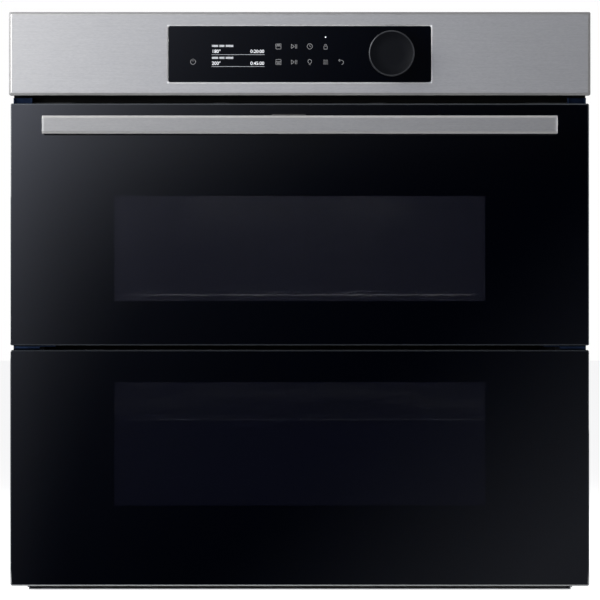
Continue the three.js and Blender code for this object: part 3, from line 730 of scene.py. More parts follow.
EDGES = {
    0.35 * MM: ["base_pan", "top_cover", "back_panel", "side_panel_left", "side_panel_right", "bay_floor",
                "hinge_box_left", "hinge_box_right", "hinge_arm_left", "hinge_arm_right",
                "side_arm_left", "side_arm_right", "mid_hinge_left", "mid_hinge_right"],
    0.6 * MM: ["front_frame", "lower_door_frame", "upper_door_frame", "latch_rod_left", "latch_rod_right",
               "upper_fan_motor", "lower_fan_motor", "blower_motor", "lever_bracket", "terminal_block"],
    1.0 * MM: ["blower_housing", "handle_post_left", "handle_post_right", "release_lever",
               "divider_plate"],
}
rounded_count = sum(len([softened(n, width) for n in nodes]) for width, nodes in EDGES.items())
print(rounded_count, "solids have round edges")


# %% [markdown]
# ## The two glass doors
#
# Each outer pane is a plain rectangle with tight corners. Its edge is ground, so a thin bright line runs
# round it. The pane is lofted from its outline in steps through the arris. Two clear panes lie behind it.

# %% Outer panes
door_glass = {
    # Each door's last colour is painted light in its window: a dark grey-blue standing for light from inside
    # the oven, brighter on the upper door.
    "upper": printed_glass("upper_door_ink", "upper_outer_glass", UPPER_WINDOW, (0.0049, 0.0052, 0.0091)),
    "lower": printed_glass("lower_door_ink", "lower_outer_glass", LOWER_WINDOW, (0.0020, 0.0023, 0.0052)),
}
for level in ("upper", "lower"):
    outer_pane = soft_box(*span(level + "_outer_glass").T, 0.9 * MM, 2.0 * MM, "y", 3)
    finish_piece(level + "_door_glass", outer_pane, door_glass[level], level + "_outer_glass", flat_angle=10)
    for layer in ("middle", "inner"):
        node = f"{level}_{layer}_glass"
        pane = soft_box(*span(node).T, 0.5 * MM, 3.0 * MM, "y", 3)
        finish_piece(f"{level}_{layer}_pane", pane, FINISH["clear_glass"], node, flat_angle=10)
print("panes", np.round(span("upper_outer_glass")[1] - span("upper_outer_glass")[0], 4))


# %% [markdown]
# ## The control fascia
#
# A steel panel with a bright ring: first a narrow slope, then the brushed face. The same slope runs round
# the cut-out for the control glass. One cross-section carried round both outlines gives all of it.

# %% Fascia
def framed(outer, inner, steps):
    """A ring between two outlines. Each step is (which outline, inset towards the ring's middle, depth)."""
    rings = []
    for which, inset, depth in steps:
        (a0, a1), (b0, b1), corner = outer if which == "outer" else inner
        grow = inset if which == "outer" else -inset
        outline = rounded_rect((a0 + grow, a1 - grow), (b0 + grow, b1 - grow), max(corner - grow, 0.2 * MM))
        rings.append(stand(outline, depth, "y")[0])
    return loft(rings, closed=True)


control = span("control_glass")
SLOPE = 2.2 * MM
SLOPE_DROP = 0.9 * MM
WALL = 1.9 * MM
outer_line = ((fascia[0, 0], fascia[1, 0]), (fascia[0, 2], fascia[1, 2]), 1.6 * MM)
inner_line = ((control[0, 0] - 0.3 * MM, control[1, 0] + 0.3 * MM),
              (control[0, 2] - 0.3 * MM, control[1, 2] + 0.3 * MM), 2.2 * MM)
panel = framed(outer_line, inner_line, [
    ("outer", WALL, fascia[1, 1]), ("outer", 0, fascia[1, 1]), ("outer", 0, FRONT_Y + SLOPE_DROP),
    ("outer", 0.25 * MM, FRONT_Y + 0.6 * SLOPE_DROP), ("outer", SLOPE, FRONT_Y + 0.1 * MM),
    ("outer", SLOPE + 0.4 * MM, FRONT_Y), ("inner", 1.3 * MM, FRONT_Y),
    ("inner", 0.9 * MM, FRONT_Y + 0.06 * MM), ("inner", 0, FRONT_Y + SLOPE_DROP),
    ("inner", 0, FRONT_Y + WALL), ("outer", WALL, FRONT_Y + WALL)])


def fascia_edges(steel):
    """1 on the slopes round the panel and round the cut-out, 0 on the brushed face. The distance to a
    rectangle's outline is the larger of its two one-way distances."""
    x, _, z = steel.axes()
    masks = []
    for (a, b, _), sign in ((outer_line, 1), (inner_line, -1)):
        away = (abs(x) - a[1]).math("MAXIMUM", abs(z - (b[0] + b[1]) / 2) - (b[1] - b[0]) / 2)
        masks.append(steel.spread(away, -SLOPE, -SLOPE + 0.3 * MM, 0.0, 0.9) if sign > 0 else
                     steel.spread(away, 0.7 * MM, 1.3 * MM, 1.0, 0.0))
    # The slope round the panel is painted dark, a painted shade; the slope round the cut-out is painted pale,
    # a painted highlight.
    return [(masks[0], 0.20), (masks[1], 0.85)]


fascia_steel = brushed_steel("fascia_steel", tone=0.50, roughness=0.39, painted_edge_light=fascia_edges)
finish_piece("fascia_panel", panel, fascia_steel, "control_fascia", flat_angle=4)
print("fascia", np.round(fascia[1] - fascia[0], 4))


# %% [markdown]
# ## The control glass and what is printed on it
#
# A dark pane lies flush in the cut-out. Behind it a small display shows numbers and bars, and round it are
# fine grey signs: power, the two compartments, start and pause, clock, lock, lamp, list and back.
#
# Each sign is drawn as a line with a width. A line given by points gets one quad strip, its sides set off
# along the normal of each point, and a film thickness of five hundredths of a millimetre.

# %% Thin printed lines
PRINT_Y = FRONT_Y - 0.05 * MM


def printed_line(points, width, closed=False):
    """A flat line on the glass. At each point the two sides lie half a width along the normal, and the film
    goes back to the glass."""
    p = np.asarray(points, float) * MM
    off = normals(p, closed) * width * MM / 2
    corners = [(p + off, PRINT_Y), (p - off, PRINT_Y), (p - off, FRONT_Y), (p + off, FRONT_Y)]
    rings = np.stack([np.insert(side, 1, depth, axis=1) for side, depth in corners], 1)
    return loft(rings, closed)


def arc(centre, radius, start, end, count=20):
    """Points on a circle: centre plus radius times (cos, sin), with angles in degrees."""
    t = np.radians(np.linspace(start, end, count))
    return np.stack([centre[0] + radius * np.cos(t), centre[1] + radius * np.sin(t)], -1)


def dense(corners, closed=False):
    """A polyline with two close points at each corner, so that a corner keeps its width."""
    c = np.asarray(corners, float)
    if closed:
        c = np.concatenate([c, c[:1]])
    ends = [np.stack([a + (b - a) * 0.02, b - (b - a) * 0.02]) for a, b in zip(c[:-1], c[1:])]
    out = np.concatenate(ends)
    if not closed:
        out[0], out[-1] = c[0], c[-1]
    return out


print("a clock ring has", len(printed_line(arc((0, 0), 2, 0, 342), 0.4, True)[1]), "faces")

# %% The signs
COLUMNS = np.array([-21.8, -5.8, 10.3, 26.4, 42.3])
ROWS = np.array([556.1, 540.1])
LINE = 0.5


def draw_sign(column, row, *strokes):
    """The lines of one sign. A stroke is (points from the sign's middle, closed or not, width)."""
    centre = np.array([COLUMNS[column], ROWS[row]])
    return [printed_line(centre + points, width, closed) for points, closed, width in strokes]


def flat(reach, height, width=LINE):
    """A level stroke that reaches as far to the left as to the right."""
    return np.array([(-reach, height), (reach, height)]), False, width


def bent(corners, closed=False):
    """A stroke with sharp corners."""
    return dense(corners, closed), closed, LINE


def curved(centre, radius, start, end, closed=False):
    """A stroke along a circle."""
    return arc(centre, radius, start, end), closed, LINE


SQUARE = bent([(-2.6, -2.6), (2.6, -2.6), (2.6, 2.6), (-2.6, 2.6)], True)
PLAY = bent([(-2.8, -2.2), (0.2, 0), (-2.8, 2.2)], True)
PAUSE = [(np.array([(dx, -2.2), (dx, 2.2)]), False, LINE) for dx in (1.4, 2.8)]
LOCK = bent([(-1.7, -2.8), (1.7, -2.8), (1.7, 0.3), (-1.7, 0.3)], True)
SHAFT = np.array([(-2.4, 1.8), (0.4, 1.8)]), False, LINE
HEAD = bent([(-1.2, 3.1), (-2.6, 1.8), (-1.2, 0.5)])
signs = []
for row, filled in enumerate((1.5, -1.1)):
    signs += draw_sign(0, row, SQUARE, flat(2.6, 0.4), flat(1.6, filled, 0.9))
for row in (0, 1):
    signs += draw_sign(1, row, PLAY, *PAUSE)
signs += draw_sign(2, 0, curved((0, 0), 2.7, 0, 342, True), bent([(0, 1.7), (0, 0), (1.3, -0.6)]))
signs += draw_sign(3, 0, LOCK, curved((0, 0.9), 1.2, 0, 180))
signs += draw_sign(2, 1, curved((0, 0.7), 1.9, -60, 240), flat(0.95, -1.7), flat(0.7, -2.7))
signs += draw_sign(3, 1, *(flat(2.4, height) for height in (-1.9, 0, 1.9)))
signs += draw_sign(4, 1, curved((0.4, -0.3), 2.1, -90, 90), SHAFT, HEAD)
POWER = np.array([-109.2, 540.3])
signs += [printed_line(arc(POWER, 2.6, 120, 420), LINE), printed_line(POWER + [(0, 0.3), (0, 3.1)], LINE)]


def print_ink(name, colour, glow):
    """Printed or lit ink with a slightly uneven film."""
    ink = Recipe(name, Roughness=0.5, Emission_Strength=glow)
    film = ink.blend(ink.noise(300.0), [0.85 * v for v in colour], colour)
    return ink.feed(Base_Color=film, Emission_Color=film).material


sign_ink = print_ink("sign_ink", (0.15, 0.15, 0.155), 0.40)
lit_ink = print_ink("display_light", (0.62, 0.63, 0.66), 0.75)
dim_ink = print_ink("display_dim_light", (0.30, 0.31, 0.33), 0.5)
finish_piece("control_signs", combine(signs), sign_ink, body="cabinet", slot="black_glass")
lamp_dot = printed_line(dense(np.array([(26.4, 564.9), (26.4, 566.2)])), 1.3)
finish_piece("lock_lamp", lamp_dot, lit_ink, body="cabinet", slot="black_glass")
print(len(signs), "printed lines")


# %% [markdown]
# ## The display
#
# Two blocks, one for each compartment. A block has a short heading, given here as plain bars, and a row
# with a temperature at the left and a time at the right. The numbers are Blender text turned into mesh and
# laid on the glass.

# %% Display numbers and bars
def lay_text(words, left, base, height, flush="LEFT"):
    """Text as (points, faces) on the glass. Height is that of a capital, about 0.7 of the text size."""
    curve = bpy.data.curves.new("words", "FONT")
    curve.body = words
    curve.size = height * MM / 0.7
    curve.align_x = flush
    holder = bpy.data.objects.new("words", curve)
    bpy.context.collection.objects.link(holder)
    bpy.context.view_layer.update()
    mesh = bpy.data.meshes.new_from_object(holder)
    flat = np.array([v.co for v in mesh.vertices])
    points = np.stack([flat[:, 0] + left * MM, np.full(len(flat), PRINT_Y), flat[:, 1] + base * MM], -1)
    faces = [list(p.vertices) for p in mesh.polygons]
    bpy.data.objects.remove(holder)
    return points, faces


blocks, dim_lines = [], []
for top, shown, hour in ((558.6, "180°", "0:20:00"), (546.4, "200°", "0:45:00")):
    bars = [(-89.8, -83.4), (-82.2, -77.0), (-75.8, -68.0)]
    dim_lines += [printed_line([(a, top - 2.0), (b, top - 2.0)], 2.1) for a, b in bars]
    blocks.append(lay_text(shown, -90.0, top - 9.2, 3.4))
    blocks.append(lay_text(hour, -36.3, top - 9.2, 3.4, "RIGHT"))
    dim_lines.append(printed_line([(-90.3, top - 10.9), (-36.0, top - 10.9)], 0.35))
finish_piece("display_numbers", combine(blocks), lit_ink, body="cabinet", slot="black_glass")
finish_piece("display_rules", combine(dim_lines), dim_ink, body="cabinet", slot="black_glass")
softened("control_glass", 0.3 * MM)
print(len(blocks), "numbers and", len(dim_lines), "bars")


# %% [markdown]
# ## The dial
#
# A plain drum with a fine round edge, pressed in to wake it and turned to choose. A shallow dish in its
# face and a narrow groove near its foot keep it from looking like a bare cylinder. Its outline is turned
# round the dial's axis.

# %% Dial and shaft
knob = span("dial_knob")
knob_mid = middle("dial_knob")
R = (knob[1, 0] - knob[0, 0]) / 2
FRONT = knob[0, 1]
BACK = -0.2658  # where the drum stops, just in front of the glass
DIAL_FOOT = (knob_mid[0], 0, knob_mid[2])
t = np.linspace(0, np.pi / 2, 7)
EDGE = 1.1 * MM
rim = np.stack([R - EDGE + EDGE * np.cos(t), FRONT + EDGE - EDGE * np.sin(t)], -1)
dish = [(R - 1.6 * MM, FRONT + 0.02 * MM), (R - 2.0 * MM, FRONT + 0.25 * MM), (0.5 * R, FRONT + 0.30 * MM),
        (0, FRONT + 0.32 * MM)]
SOCKET = BACK - 14.7 * MM
BORE = 3.3 * MM
socket = [(0, SOCKET), (BORE, SOCKET), (BORE, BACK)]
foot = np.array([(-1.6, 0), (-1.2, -0.4), (-1.2, -1.4), (-0.3, -1.8), (0, -2.6)]) * MM + (R, BACK)
drum = turned(np.concatenate([socket, foot, rim, dish]), DIAL_FOOT, "y", 128)
finish_piece("dial_drum", drum, FINISH["dial_plastic"], "dial_knob", flat_angle=50)
HOOP = np.array([(-1.7, 1.0), (-1.6, 0.12), (-1.2, -0.06), (-0.7, 0.02), (-0.15, 0.42), (0.03, 1.0)]) * MM
# The hoop is the dial's plastic painted lighter and given some metal shine: a painted sheen on the rim, so
# the rim reads lighter than the face.
hoop_sheen_paint = grained("dial_hoop_painted_sheen", (0.030, 0.032, 0.036), (0.045, 0.047, 0.052), 0.30, 1500.0,
                     0.00002, 0.6)
finish_piece("dial_hoop", turned(HOOP + (R, FRONT), DIAL_FOOT, "y", 128, True), hoop_sheen_paint, body="dial",
             slot="dial_plastic", flat_angle=50)

shaft = span("dial_shaft")
shaft_r = (shaft[1, 0] - shaft[0, 0]) / 2
CUT = 0.4 * MM
rod = [(0, shaft[0, 1]), (shaft_r - CUT, shaft[0, 1]), (shaft_r, shaft[0, 1] + CUT),
       (shaft_r, shaft[1, 1] - CUT), (shaft_r - CUT, shaft[1, 1]), (0, shaft[1, 1])]
finish_piece("dial_rod", turned(rod, DIAL_FOOT, "y", 32), FINISH["stainless"], "dial_shaft")
print("dial", round(2000 * R, 1), "mm across")


# %% [markdown]
# ## The handle
#
# A flat bar of brushed steel. The light catches its long slopes at the top and the bottom, and the small
# ones at the ends, and these slopes are also painted a lighter tone, a painted highlight. The section is a
# rectangle with flat slopes towards the front.

# %% Handle bar
bar = span("handle_bar")
SIDE = 2.3 * MM
steps = [(0.8 * MM, bar[1, 1]), (0, bar[1, 1] - 0.8 * MM), (0, bar[0, 1] + 1.5 * MM),
         (0.15 * MM, bar[0, 1] + 1.15 * MM), (SIDE - 0.2 * MM, bar[0, 1] + 0.06 * MM), (SIDE, bar[0, 1])]
rings = [rounded_rect((bar[0, 0] + 0.25 * i, bar[1, 0] - 0.25 * i), (bar[0, 2] + i, bar[1, 2] - i), 0.6 * MM)
         for i, _ in steps]
grip = loft(stand(rings, [depth for _, depth in steps], "y"))


def handle_edges(steel):
    """1 on the slopes along the bar's top, bottom and ends."""
    x, _, z = steel.axes()
    away = (abs(x) - bar[1, 0]).math("MAXIMUM", abs(z - bar[:, 2].mean()) - (bar[1, 2] - bar[0, 2]) / 2)
    # The slopes are painted a lighter tone than the bar: a painted highlight.
    return [(steel.spread(away, -SIDE, -SIDE + 0.3 * MM) * 0.5, 0.50)]


handle_steel = brushed_steel("handle_steel", tone=0.40, painted_edge_light=handle_edges)
finish_piece("handle_grip", grip, handle_steel, "handle_bar", flat_angle=4)
print("handle", np.round(bar[1] - bar[0], 4))


# %% [markdown]
# ## The spring under the release lever
#
# A helix of steel wire: the point at angle t lies at the coil's radius times (cos t, sin t), and rises with
# t. Its first and last turns are flat, as ground springs are. It shortens as the lever goes down.

# %% Lever spring
coil_box = span("lever_spring")
WIRE = 0.35 * MM
coil_mid = coil_box.mean(0)
coil_r = (coil_box[1, 0] - coil_box[0, 0]) / 2 - WIRE
turns = np.linspace(0, 5, 121)
rise = np.clip((turns - 0.7) / 3.6, 0, 1) * (coil_box[1, 2] - coil_box[0, 2] - 2 * WIRE)
angle = 2 * np.pi * turns
helix = np.stack([coil_mid[0] + coil_r * np.cos(angle), coil_mid[1] + coil_r * np.sin(angle),
                  coil_box[0, 2] + WIRE + rise], -1)
spring = finish_piece("release_spring", tube(helix, WIRE, 8), FINISH["stainless"], "lever_spring")
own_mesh(spring)


# %% [markdown]
# ## Louvres in the cabinet's sheets
#
# Air leaves the cabinet through slots. A press cuts each slot and pushes a blade inwards in the same stroke,
# so there is no straight way through. Each blade is a strip behind its slot whose section is a quarter arc,
# and all the blades of a sheet are one piece.

# %% Blades behind the slots
def louvres(name, sheet_faces_y, face, heights, across, rows, reach=7 * MM):
    """Bent blades behind a row of upright slots. A blade starts at the slot's far edge and drops inwards on
    a quarter ellipse: it goes back by its width times (1 - cos t), and in by reach times sin t."""
    t = np.linspace(0, np.pi / 2, 6)
    inwards = np.sign(middle("insulation")[1 if sheet_faces_y else 0] - face)
    depth = face + inwards * (0.4 * MM + reach * np.sin(t))
    parts = []
    for start in rows:
        section = strip(np.stack([start + across * np.cos(t) + 0.2 * MM, depth], -1), 0, -0.6 * MM)
        parts.append(loft(stand(section if sheet_faces_y else section[:, ::-1], heights, "z")))
    return finish_piece(name, combine(parts), FINISH["zinc"], body="cabinet", slot="zinc")


def slot_rows(first, pitch, count):
    """The start of each slot in a row, in metres."""
    return (first + pitch * np.arange(count)) * MM


BACK_SLOT, SIDE_SLOT = 14 * MM, 8 * MM
BACK_ROWS = [("top", (0.500, 0.560), -60, 9), ("upper", (0.315, 0.365), -82, 6),
             ("lower", (0.134, 0.184), -82, 6)]
SIDE_ROWS = [("low", (0.030, 0.062), 360, 6), ("high", (0.505, 0.545), 120, 10)]
for row, heights, first, count in BACK_ROWS:
    starts = slot_rows(first, 30, count)
    louvres("back_louvres_" + row, True, span("back_panel")[0, 1], heights, BACK_SLOT, starts)
ROW_Y = span("side_panel_left")[0, 1] - 2 * MM  # where the sheets' slots are counted from
for side, x in (("left", span("side_panel_left")[1, 0]), ("right", span("side_panel_right")[0, 0])):
    for row, heights, first, count in SIDE_ROWS:
        starts = ROW_Y + slot_rows(first, 18, count)
        louvres(f"side_louvres_{row}_{side}", False, x, heights, SIDE_SLOT, starts, 4 * MM)
print("louvres behind", sum(row[3] for row in BACK_ROWS + 2 * SIDE_ROWS), "slots")


# %% [markdown]
# ## The oven liner
#
# The liner is pressed and enamelled steel. Its inner corners are wide curves, so that it wipes clean, and
# its mouth rolls out into a flange that the door seal meets. It is one skin: a stack of rounded
# rectangles from the back wall through the mouth to the flange, then back along the outside.

# %% Liner
liner = span("oven_cavity")
LINER_WALL = 1.2 * MM
flange_back = liner[0, 1] + LINER_WALL
LINER_HALF, LINER_FLOOR, LINER_TOP = 0.2220, 0.0730, 0.4420  # the outside of the liner behind its flange
inner_x = LINER_HALF - LINER_WALL
inner_z = (LINER_FLOOR + LINER_WALL, LINER_TOP - LINER_WALL)
back_y = liner[1, 1]
CORNER = 16 * MM


def liner_ring(grow, depth, corner):
    """One rounded rectangle of the liner, grown from the inner size."""
    outline = rounded_rect((-inner_x - grow, inner_x + grow), (inner_z[0] - grow, inner_z[1] + grow),
                           corner, 9)
    return stand(outline, depth, "y")[0]


stack = [liner_ring(-CORNER * (1 - np.cos(a)), back_y - LINER_WALL - CORNER * (1 - np.sin(a)), CORNER)
         for a in np.linspace(np.pi / 2, 0, 7)]
stack += [liner_ring(0, liner[0, 1] + 6 * MM, CORNER)]
stack += [liner_ring(d, liner[0, 1] + y, CORNER + d) for d, y in
          ((0.4 * MM, 3 * MM), (1.6 * MM, 1.0 * MM), (3.4 * MM, 0.1 * MM), (5 * MM, 0))]
stack += [liner_ring(14 * MM, liner[0, 1], CORNER), liner_ring(14 * MM, flange_back, CORNER),
          liner_ring(LINER_WALL, flange_back, CORNER), liner_ring(LINER_WALL, back_y, CORNER)]
finish_piece("liner_skin", loft(np.array(stack)), FINISH["enamel"], "oven_cavity", flat_angle=40)
print("liner", np.round(2 * inner_x, 3), "m wide inside")


# %% [markdown]
# ## Wires: rack and shelf runners
#
# The rack is a bent wire frame with seventeen thinner wires welded under it. Its frame is one closed line
# with round corners, swept by a circle. The wires' ends turn up a little to meet the frame.

# %% Wire rack
def rounded_path(corners, radius, per_bend=7, closed=False):
    """A line through corners whose bends are quadratic curves: each bend goes from one radius before the
    corner to one radius after it, pulled towards the corner."""
    c = np.asarray(corners, float)
    n = len(c)
    t = np.linspace(0, 1, per_bend)[:, None]
    out = []
    for i in range(n):
        if not closed and i in (0, n - 1):
            out.append(c[i:i + 1])
            continue
        before, after = c[i - 1] - c[i], c[(i + 1) % n] - c[i]
        p = c[i] + before / np.linalg.norm(before) * radius
        q = c[i] + after / np.linalg.norm(after) * radius
        out.append((1 - t) ** 2 * p + 2 * t * (1 - t) * c[i] + t ** 2 * q)
    return np.concatenate(out)


rack = span("wire_rack")
FRAME_WIRE, CROSS_WIRE = 2.9 * MM, 1.6 * MM
top = rack[1, 2] - FRAME_WIRE
edge = FRAME_WIRE + 0.1 * MM
x0, y0, x1, y1 = *(rack[0, :2] + edge), *(rack[1, :2] - edge)
frame_line = rounded_path([(x0, y0, top), (x1, y0, top), (x1, y1, top), (x0, y1, top)], 14 * MM, 7, True)
parts = [tube(frame_line, FRAME_WIRE, 10, True)]
low = rack[0, 2] + CROSS_WIRE + 0.05 * MM
y_ends = np.array([rack[0, 1] + 1.9 * MM, rack[0, 1] + 9 * MM, rack[1, 1] - 9 * MM, rack[1, 1] - 1.9 * MM])
WIRE_PITCH = 22.4 * MM
z_ends = low + np.array([0.8, 0, 0, 0.8]) * MM
for x in np.arange(-8, 9) * WIRE_PITCH:
    parts.append(tube([(x, y, z) for y, z in zip(y_ends, z_ends)], CROSS_WIRE, 8))
for x in (-5.5 * WIRE_PITCH, 5.5 * WIRE_PITCH):
    parts.append(tube([(x, rack[0, 1] + 5 * MM, low + 1.2 * MM), (x, rack[1, 1] - 5 * MM, low + 1.2 * MM)],
                      CROSS_WIRE, 8))
finish_piece("rack_wires", combine(parts), FINISH["chrome"], "wire_rack", flat_angle=60)
print("rack", len(parts), "wires")


# %% Shelf runners
RAIL_HEIGHTS = np.array([110, 169.9, 205, 245, 297.6, 335]) * MM
POSTS = np.array([12.0, 167.0, 327.0]) * MM
POST_X, RAIL_X, POST_WIRE, RAIL_WIRE = 213.9 * MM, 210.7 * MM, 2.1 * MM, 1.8 * MM
for side, sign in (("left", -1), ("right", 1)):
    node = "shelf_runner_" + side
    box = span(node)
    post, rail = sign * POST_X, sign * RAIL_X
    parts = [tube([(post, y, box[0, 2]), (post, y, box[1, 2])], POST_WIRE, 10, up=(0, 1, 0))
             for y in box[0, 1] + POSTS]
    parts += [tube([(rail, box[0, 1], z), (rail, box[1, 1], z)], RAIL_WIRE, 10) for z in RAIL_HEIGHTS]
    finish_piece("runner_wires_" + side, combine(parts), FINISH["chrome"], node, flat_angle=60)
print("rails at", RAIL_HEIGHTS)


# %% [markdown]
# ## Baking tray and divider
#
# The tray is drawn from one sheet: a flat rim with a rolled edge, sloping walls and a round foot all the way
# round. The rings run over the outside, round the lip and down the inside.

# %% Tray
tray = span("baking_tray")
THICK = 1.2 * MM
RIM = 18.5 * MM
RIM_Y = 14 * MM


def tray_ring(inset, height, corner):
    """One rounded rectangle of the tray, set in from the rim's outline. The sides are set in by inset and
    the ends by a little less, as the rim is narrower there."""
    share = RIM_Y / RIM
    outline = rounded_rect((tray[0, 0] + inset, tray[1, 0] - inset),
                           (tray[0, 1] + inset * share, tray[1, 1] - inset * share), corner, 7)
    return stand(outline, height, "z")[0]


z_low, z_top = tray[0, 2], tray[1, 2]
ROLL = 6 * MM
curve = np.linspace(0, np.pi / 2, 6)
stack = [tray_ring(RIM + ROLL, z_low, 12 * MM)]
stack += [tray_ring(RIM + ROLL * (1 - np.sin(a)), z_low + ROLL * (1 - np.cos(a)), 14 * MM) for a in curve[1:]]
LIP = [(18.5, 1.2, 14), (1.0, 1.2, 8), (0, 0.8, 8), (0, 0.35, 8), (0.6, 0, 8), (17.9, 0, 14), (19.7, 1.6, 13)]
stack += [tray_ring(inset * MM, z_top - drop * MM, corner * MM) for inset, drop, corner in LIP]
stack += [tray_ring(RIM + THICK, z_low + ROLL, 13 * MM)]
FOOT = ROLL - THICK
stack += [tray_ring(RIM + THICK + FOOT * (1 - np.cos(a)), z_low + THICK + FOOT * (1 - np.sin(a)), 12 * MM)
          for a in curve[1:]]
tray_enamel = fired_enamel("tray_enamel", z_top - 1.0 * MM)
finish_piece("tray_skin", loft(np.array(stack)), tray_enamel, "baking_tray", flat_angle=40)
print("tray", np.round(tray[1] - tray[0], 3))


# %% [markdown]
# ## Door seal
#
# A braided tube clipped round the mouth. Its strands leave slanting ridges, so the tube's radius swells and
# sinks with the angle round it and the way along it: radius times 1 plus a small sine of both.

# %% Seal
seal = span("door_seal")
seal_r = (seal[1, 1] - seal[0, 1]) / 2 - 0.25 * MM
seal_y = seal[:, 1].mean()
inset = 4.0 * MM
outline = rounded_rect((seal[0, 0] + inset, seal[1, 0] - inset), (seal[0, 2] + inset, seal[1, 2] - inset),
                       20 * MM, 12)
gaps = np.linalg.norm(np.roll(outline, -1, 0) - outline, axis=1)
way = np.concatenate([[0], np.cumsum(gaps)])
count = 640
s = np.linspace(0, way[-1], count, endpoint=False)
loop = np.concatenate([outline, outline[:1]])
line = np.stack([np.interp(s, way, loop[:, 0]), np.full(count, seal_y), np.interp(s, way, loop[:, 1])], -1)
a = np.linspace(0, 2 * np.pi, 12, endpoint=False)
swell = 1 + 0.05 * np.sin(3 * a[None, :] + s[:, None] * 2 * np.pi / (9 * MM))
braid = tube(line, (seal_r * swell)[..., None], 12, True, (0, 1, 0))
finish_piece("braided_seal", braid, FINISH["braid"], "door_seal", flat_angle=60)
print("seal", round(way[-1], 2), "m round")


# %% [markdown]
# ## Seals between the panels
#
# Two black strips sit in the gaps: a near-black band behind the fascia's lower edge, a painted shade that
# keeps the gap above the upper door dark, and a rubber lip under the upper door that keeps steam from the
# gap between the doors and closes it. The lip's section is a teardrop. They are extrusions, with the
# section's points carried from one end to the other.

# %% Shade band and door lip
rubber = grained("black_rubber", (0.0012, 0.0012, 0.0013), (0.0022, 0.0022, 0.0023), 0.85, 500.0, 0.0001,
                 shine=0.15)
flange = span("front_frame")
# Painted shade: a near-black band behind the gap above the upper door, so the gap reads dark.
gap_shade_band = soft_box((flange[0, 0], flange[1, 0]), (BODY_Y - 1.1 * MM, BODY_Y - 0.1 * MM),
                (fascia[0, 2] - 7.0 * MM, fascia[0, 2] + 2 * MM), 0.3 * MM, 0.5 * MM, "x", 3)
finish_piece("fascia_gap_shade", gap_shade_band, rubber, body="cabinet", slot="black_plastic")

lip_z = (lower_pane[1, 2] + 0.3 * MM, upper_pane[0, 2] + 1.2 * MM)
lip_y = middle("upper_door_frame")[1] + 1.5 * MM
t = np.linspace(0, 2 * np.pi, 17)[:-1]
half_height = (lip_z[1] - lip_z[0]) / 2
section = np.stack([lip_y + 1.6 * MM * np.cos(t) * (1 + 0.25 * np.sin(t)),
                    (lip_z[0] + lip_z[1]) / 2 + half_height * np.sin(t)], -1)
LIP_HALF, GUIDE_HALF = 0.246, 0.255
lip = loft(stand(section, np.linspace(-LIP_HALF, LIP_HALF, 9), "x"))
finish_piece("door_gap_lip", lip, rubber, body="upper_door", slot="black_plastic", flat_angle=50)
print("lip", round(1000 * (lip_z[1] - lip_z[0]), 1), "mm high")

# %% Air guide behind the outlets
t = np.linspace(0, np.pi / 2, 8)
guide_low, guide_high = span("bay_floor")[1, 2] + 0.8 * MM, fascia[0, 2] + 12 * MM
curve = np.stack([flange[0, 1] + 12 * MM - 8 * MM * np.sin(t),
                  guide_low + (guide_high - guide_low) * (1 - np.cos(t))], -1)
section = np.concatenate([curve, curve[::-1] + (0.9 * MM, 0)])
guide = loft(stand(section, np.linspace(-GUIDE_HALF, GUIDE_HALF, 5), "x"))
finish_piece("air_guide", guide, FINISH["black_steel"], body="cabinet", slot="black_steel")
print("air guide from", round(guide_low, 4), "to", round(guide_high, 4))


# %% [markdown]
# ## Fans, their covers and the heating rods
#
# Each compartment has a fan at the back behind an enamelled cover. Air goes in through a rosette of slots
# and out at the sides. The cover is bevelled from its solid, so that its slots stay open.
#
# Round the wheel lies a rod heater: a ring with two legs to the back wall. Rods are circles swept along a
# smooth line, so they can turn in tight round bends.

# %% Covers and motors
for level in ("upper", "lower"):
    softened(level + "_fan_cover", 0.5 * MM)


def fan_blades(centre, radius, hub, depth, count, thickness, curl, axis):
    """Curved blades round a hub. A point at share s of the way out lies at hub + s (radius - hub) along a
    direction that turns by curl s squared, so the blade sweeps back towards its tip."""
    s = np.linspace(0, 1, 7)
    r = hub + s * (radius - hub)
    middle_2d = np.asarray(centre, float)[list(AXES[axis][:2])]
    parts = []
    for start in np.linspace(0, 2 * np.pi, count, endpoint=False):
        turn = start + curl * s ** 2
        line = np.stack([r * np.cos(turn), r * np.sin(turn)], -1)
        section = strip(line, thickness / 2, -thickness / 2)
        parts.append(loft(stand(section + middle_2d, depth, axis)))
    return parts


WHEEL_R, BLADES = 52 * MM, 12
DISC = [(0, 0), (23, 0), (24, 0.6), (24, 1.4), (0, 1.4)]
NUT = [(0, -14.5), (4.4, -14.5), (5.4, -13.5), (5.4, -10), (7.6, -9.4), (7.6, 0), (0, 0)]
for level in ("upper", "lower"):
    node = level + "_fan_wheel"
    box = span(node)
    disc_y = box[0, 1] + 15 * MM
    mid = np.array([0, 0, middle(level + "_fan_cover")[2]])
    on_disc = mid + (0, disc_y, 0)
    blade_y = (disc_y - 12.5 * MM, disc_y + 0.2 * MM)
    parts = fan_blades(mid, WHEEL_R, 11 * MM, blade_y, BLADES, 1.0 * MM, 0.55, "y")
    parts += [turned(np.array(DISC) * MM, on_disc, "y", 40), turned(np.array(NUT) * MM, on_disc, "y", 24)]
    parts.append(turned([(0, disc_y + 1 * MM), (3.9 * MM, disc_y + 1 * MM), (3.9 * MM, box[1, 1] - 0.5 * MM),
                         (3.4 * MM, box[1, 1]), (0, box[1, 1])], mid, "y", 20))
    finish_piece(level + "_fan_blades", combine(parts), FINISH["zinc"], node)
print("fan wheels of", BLADES, "blades each")

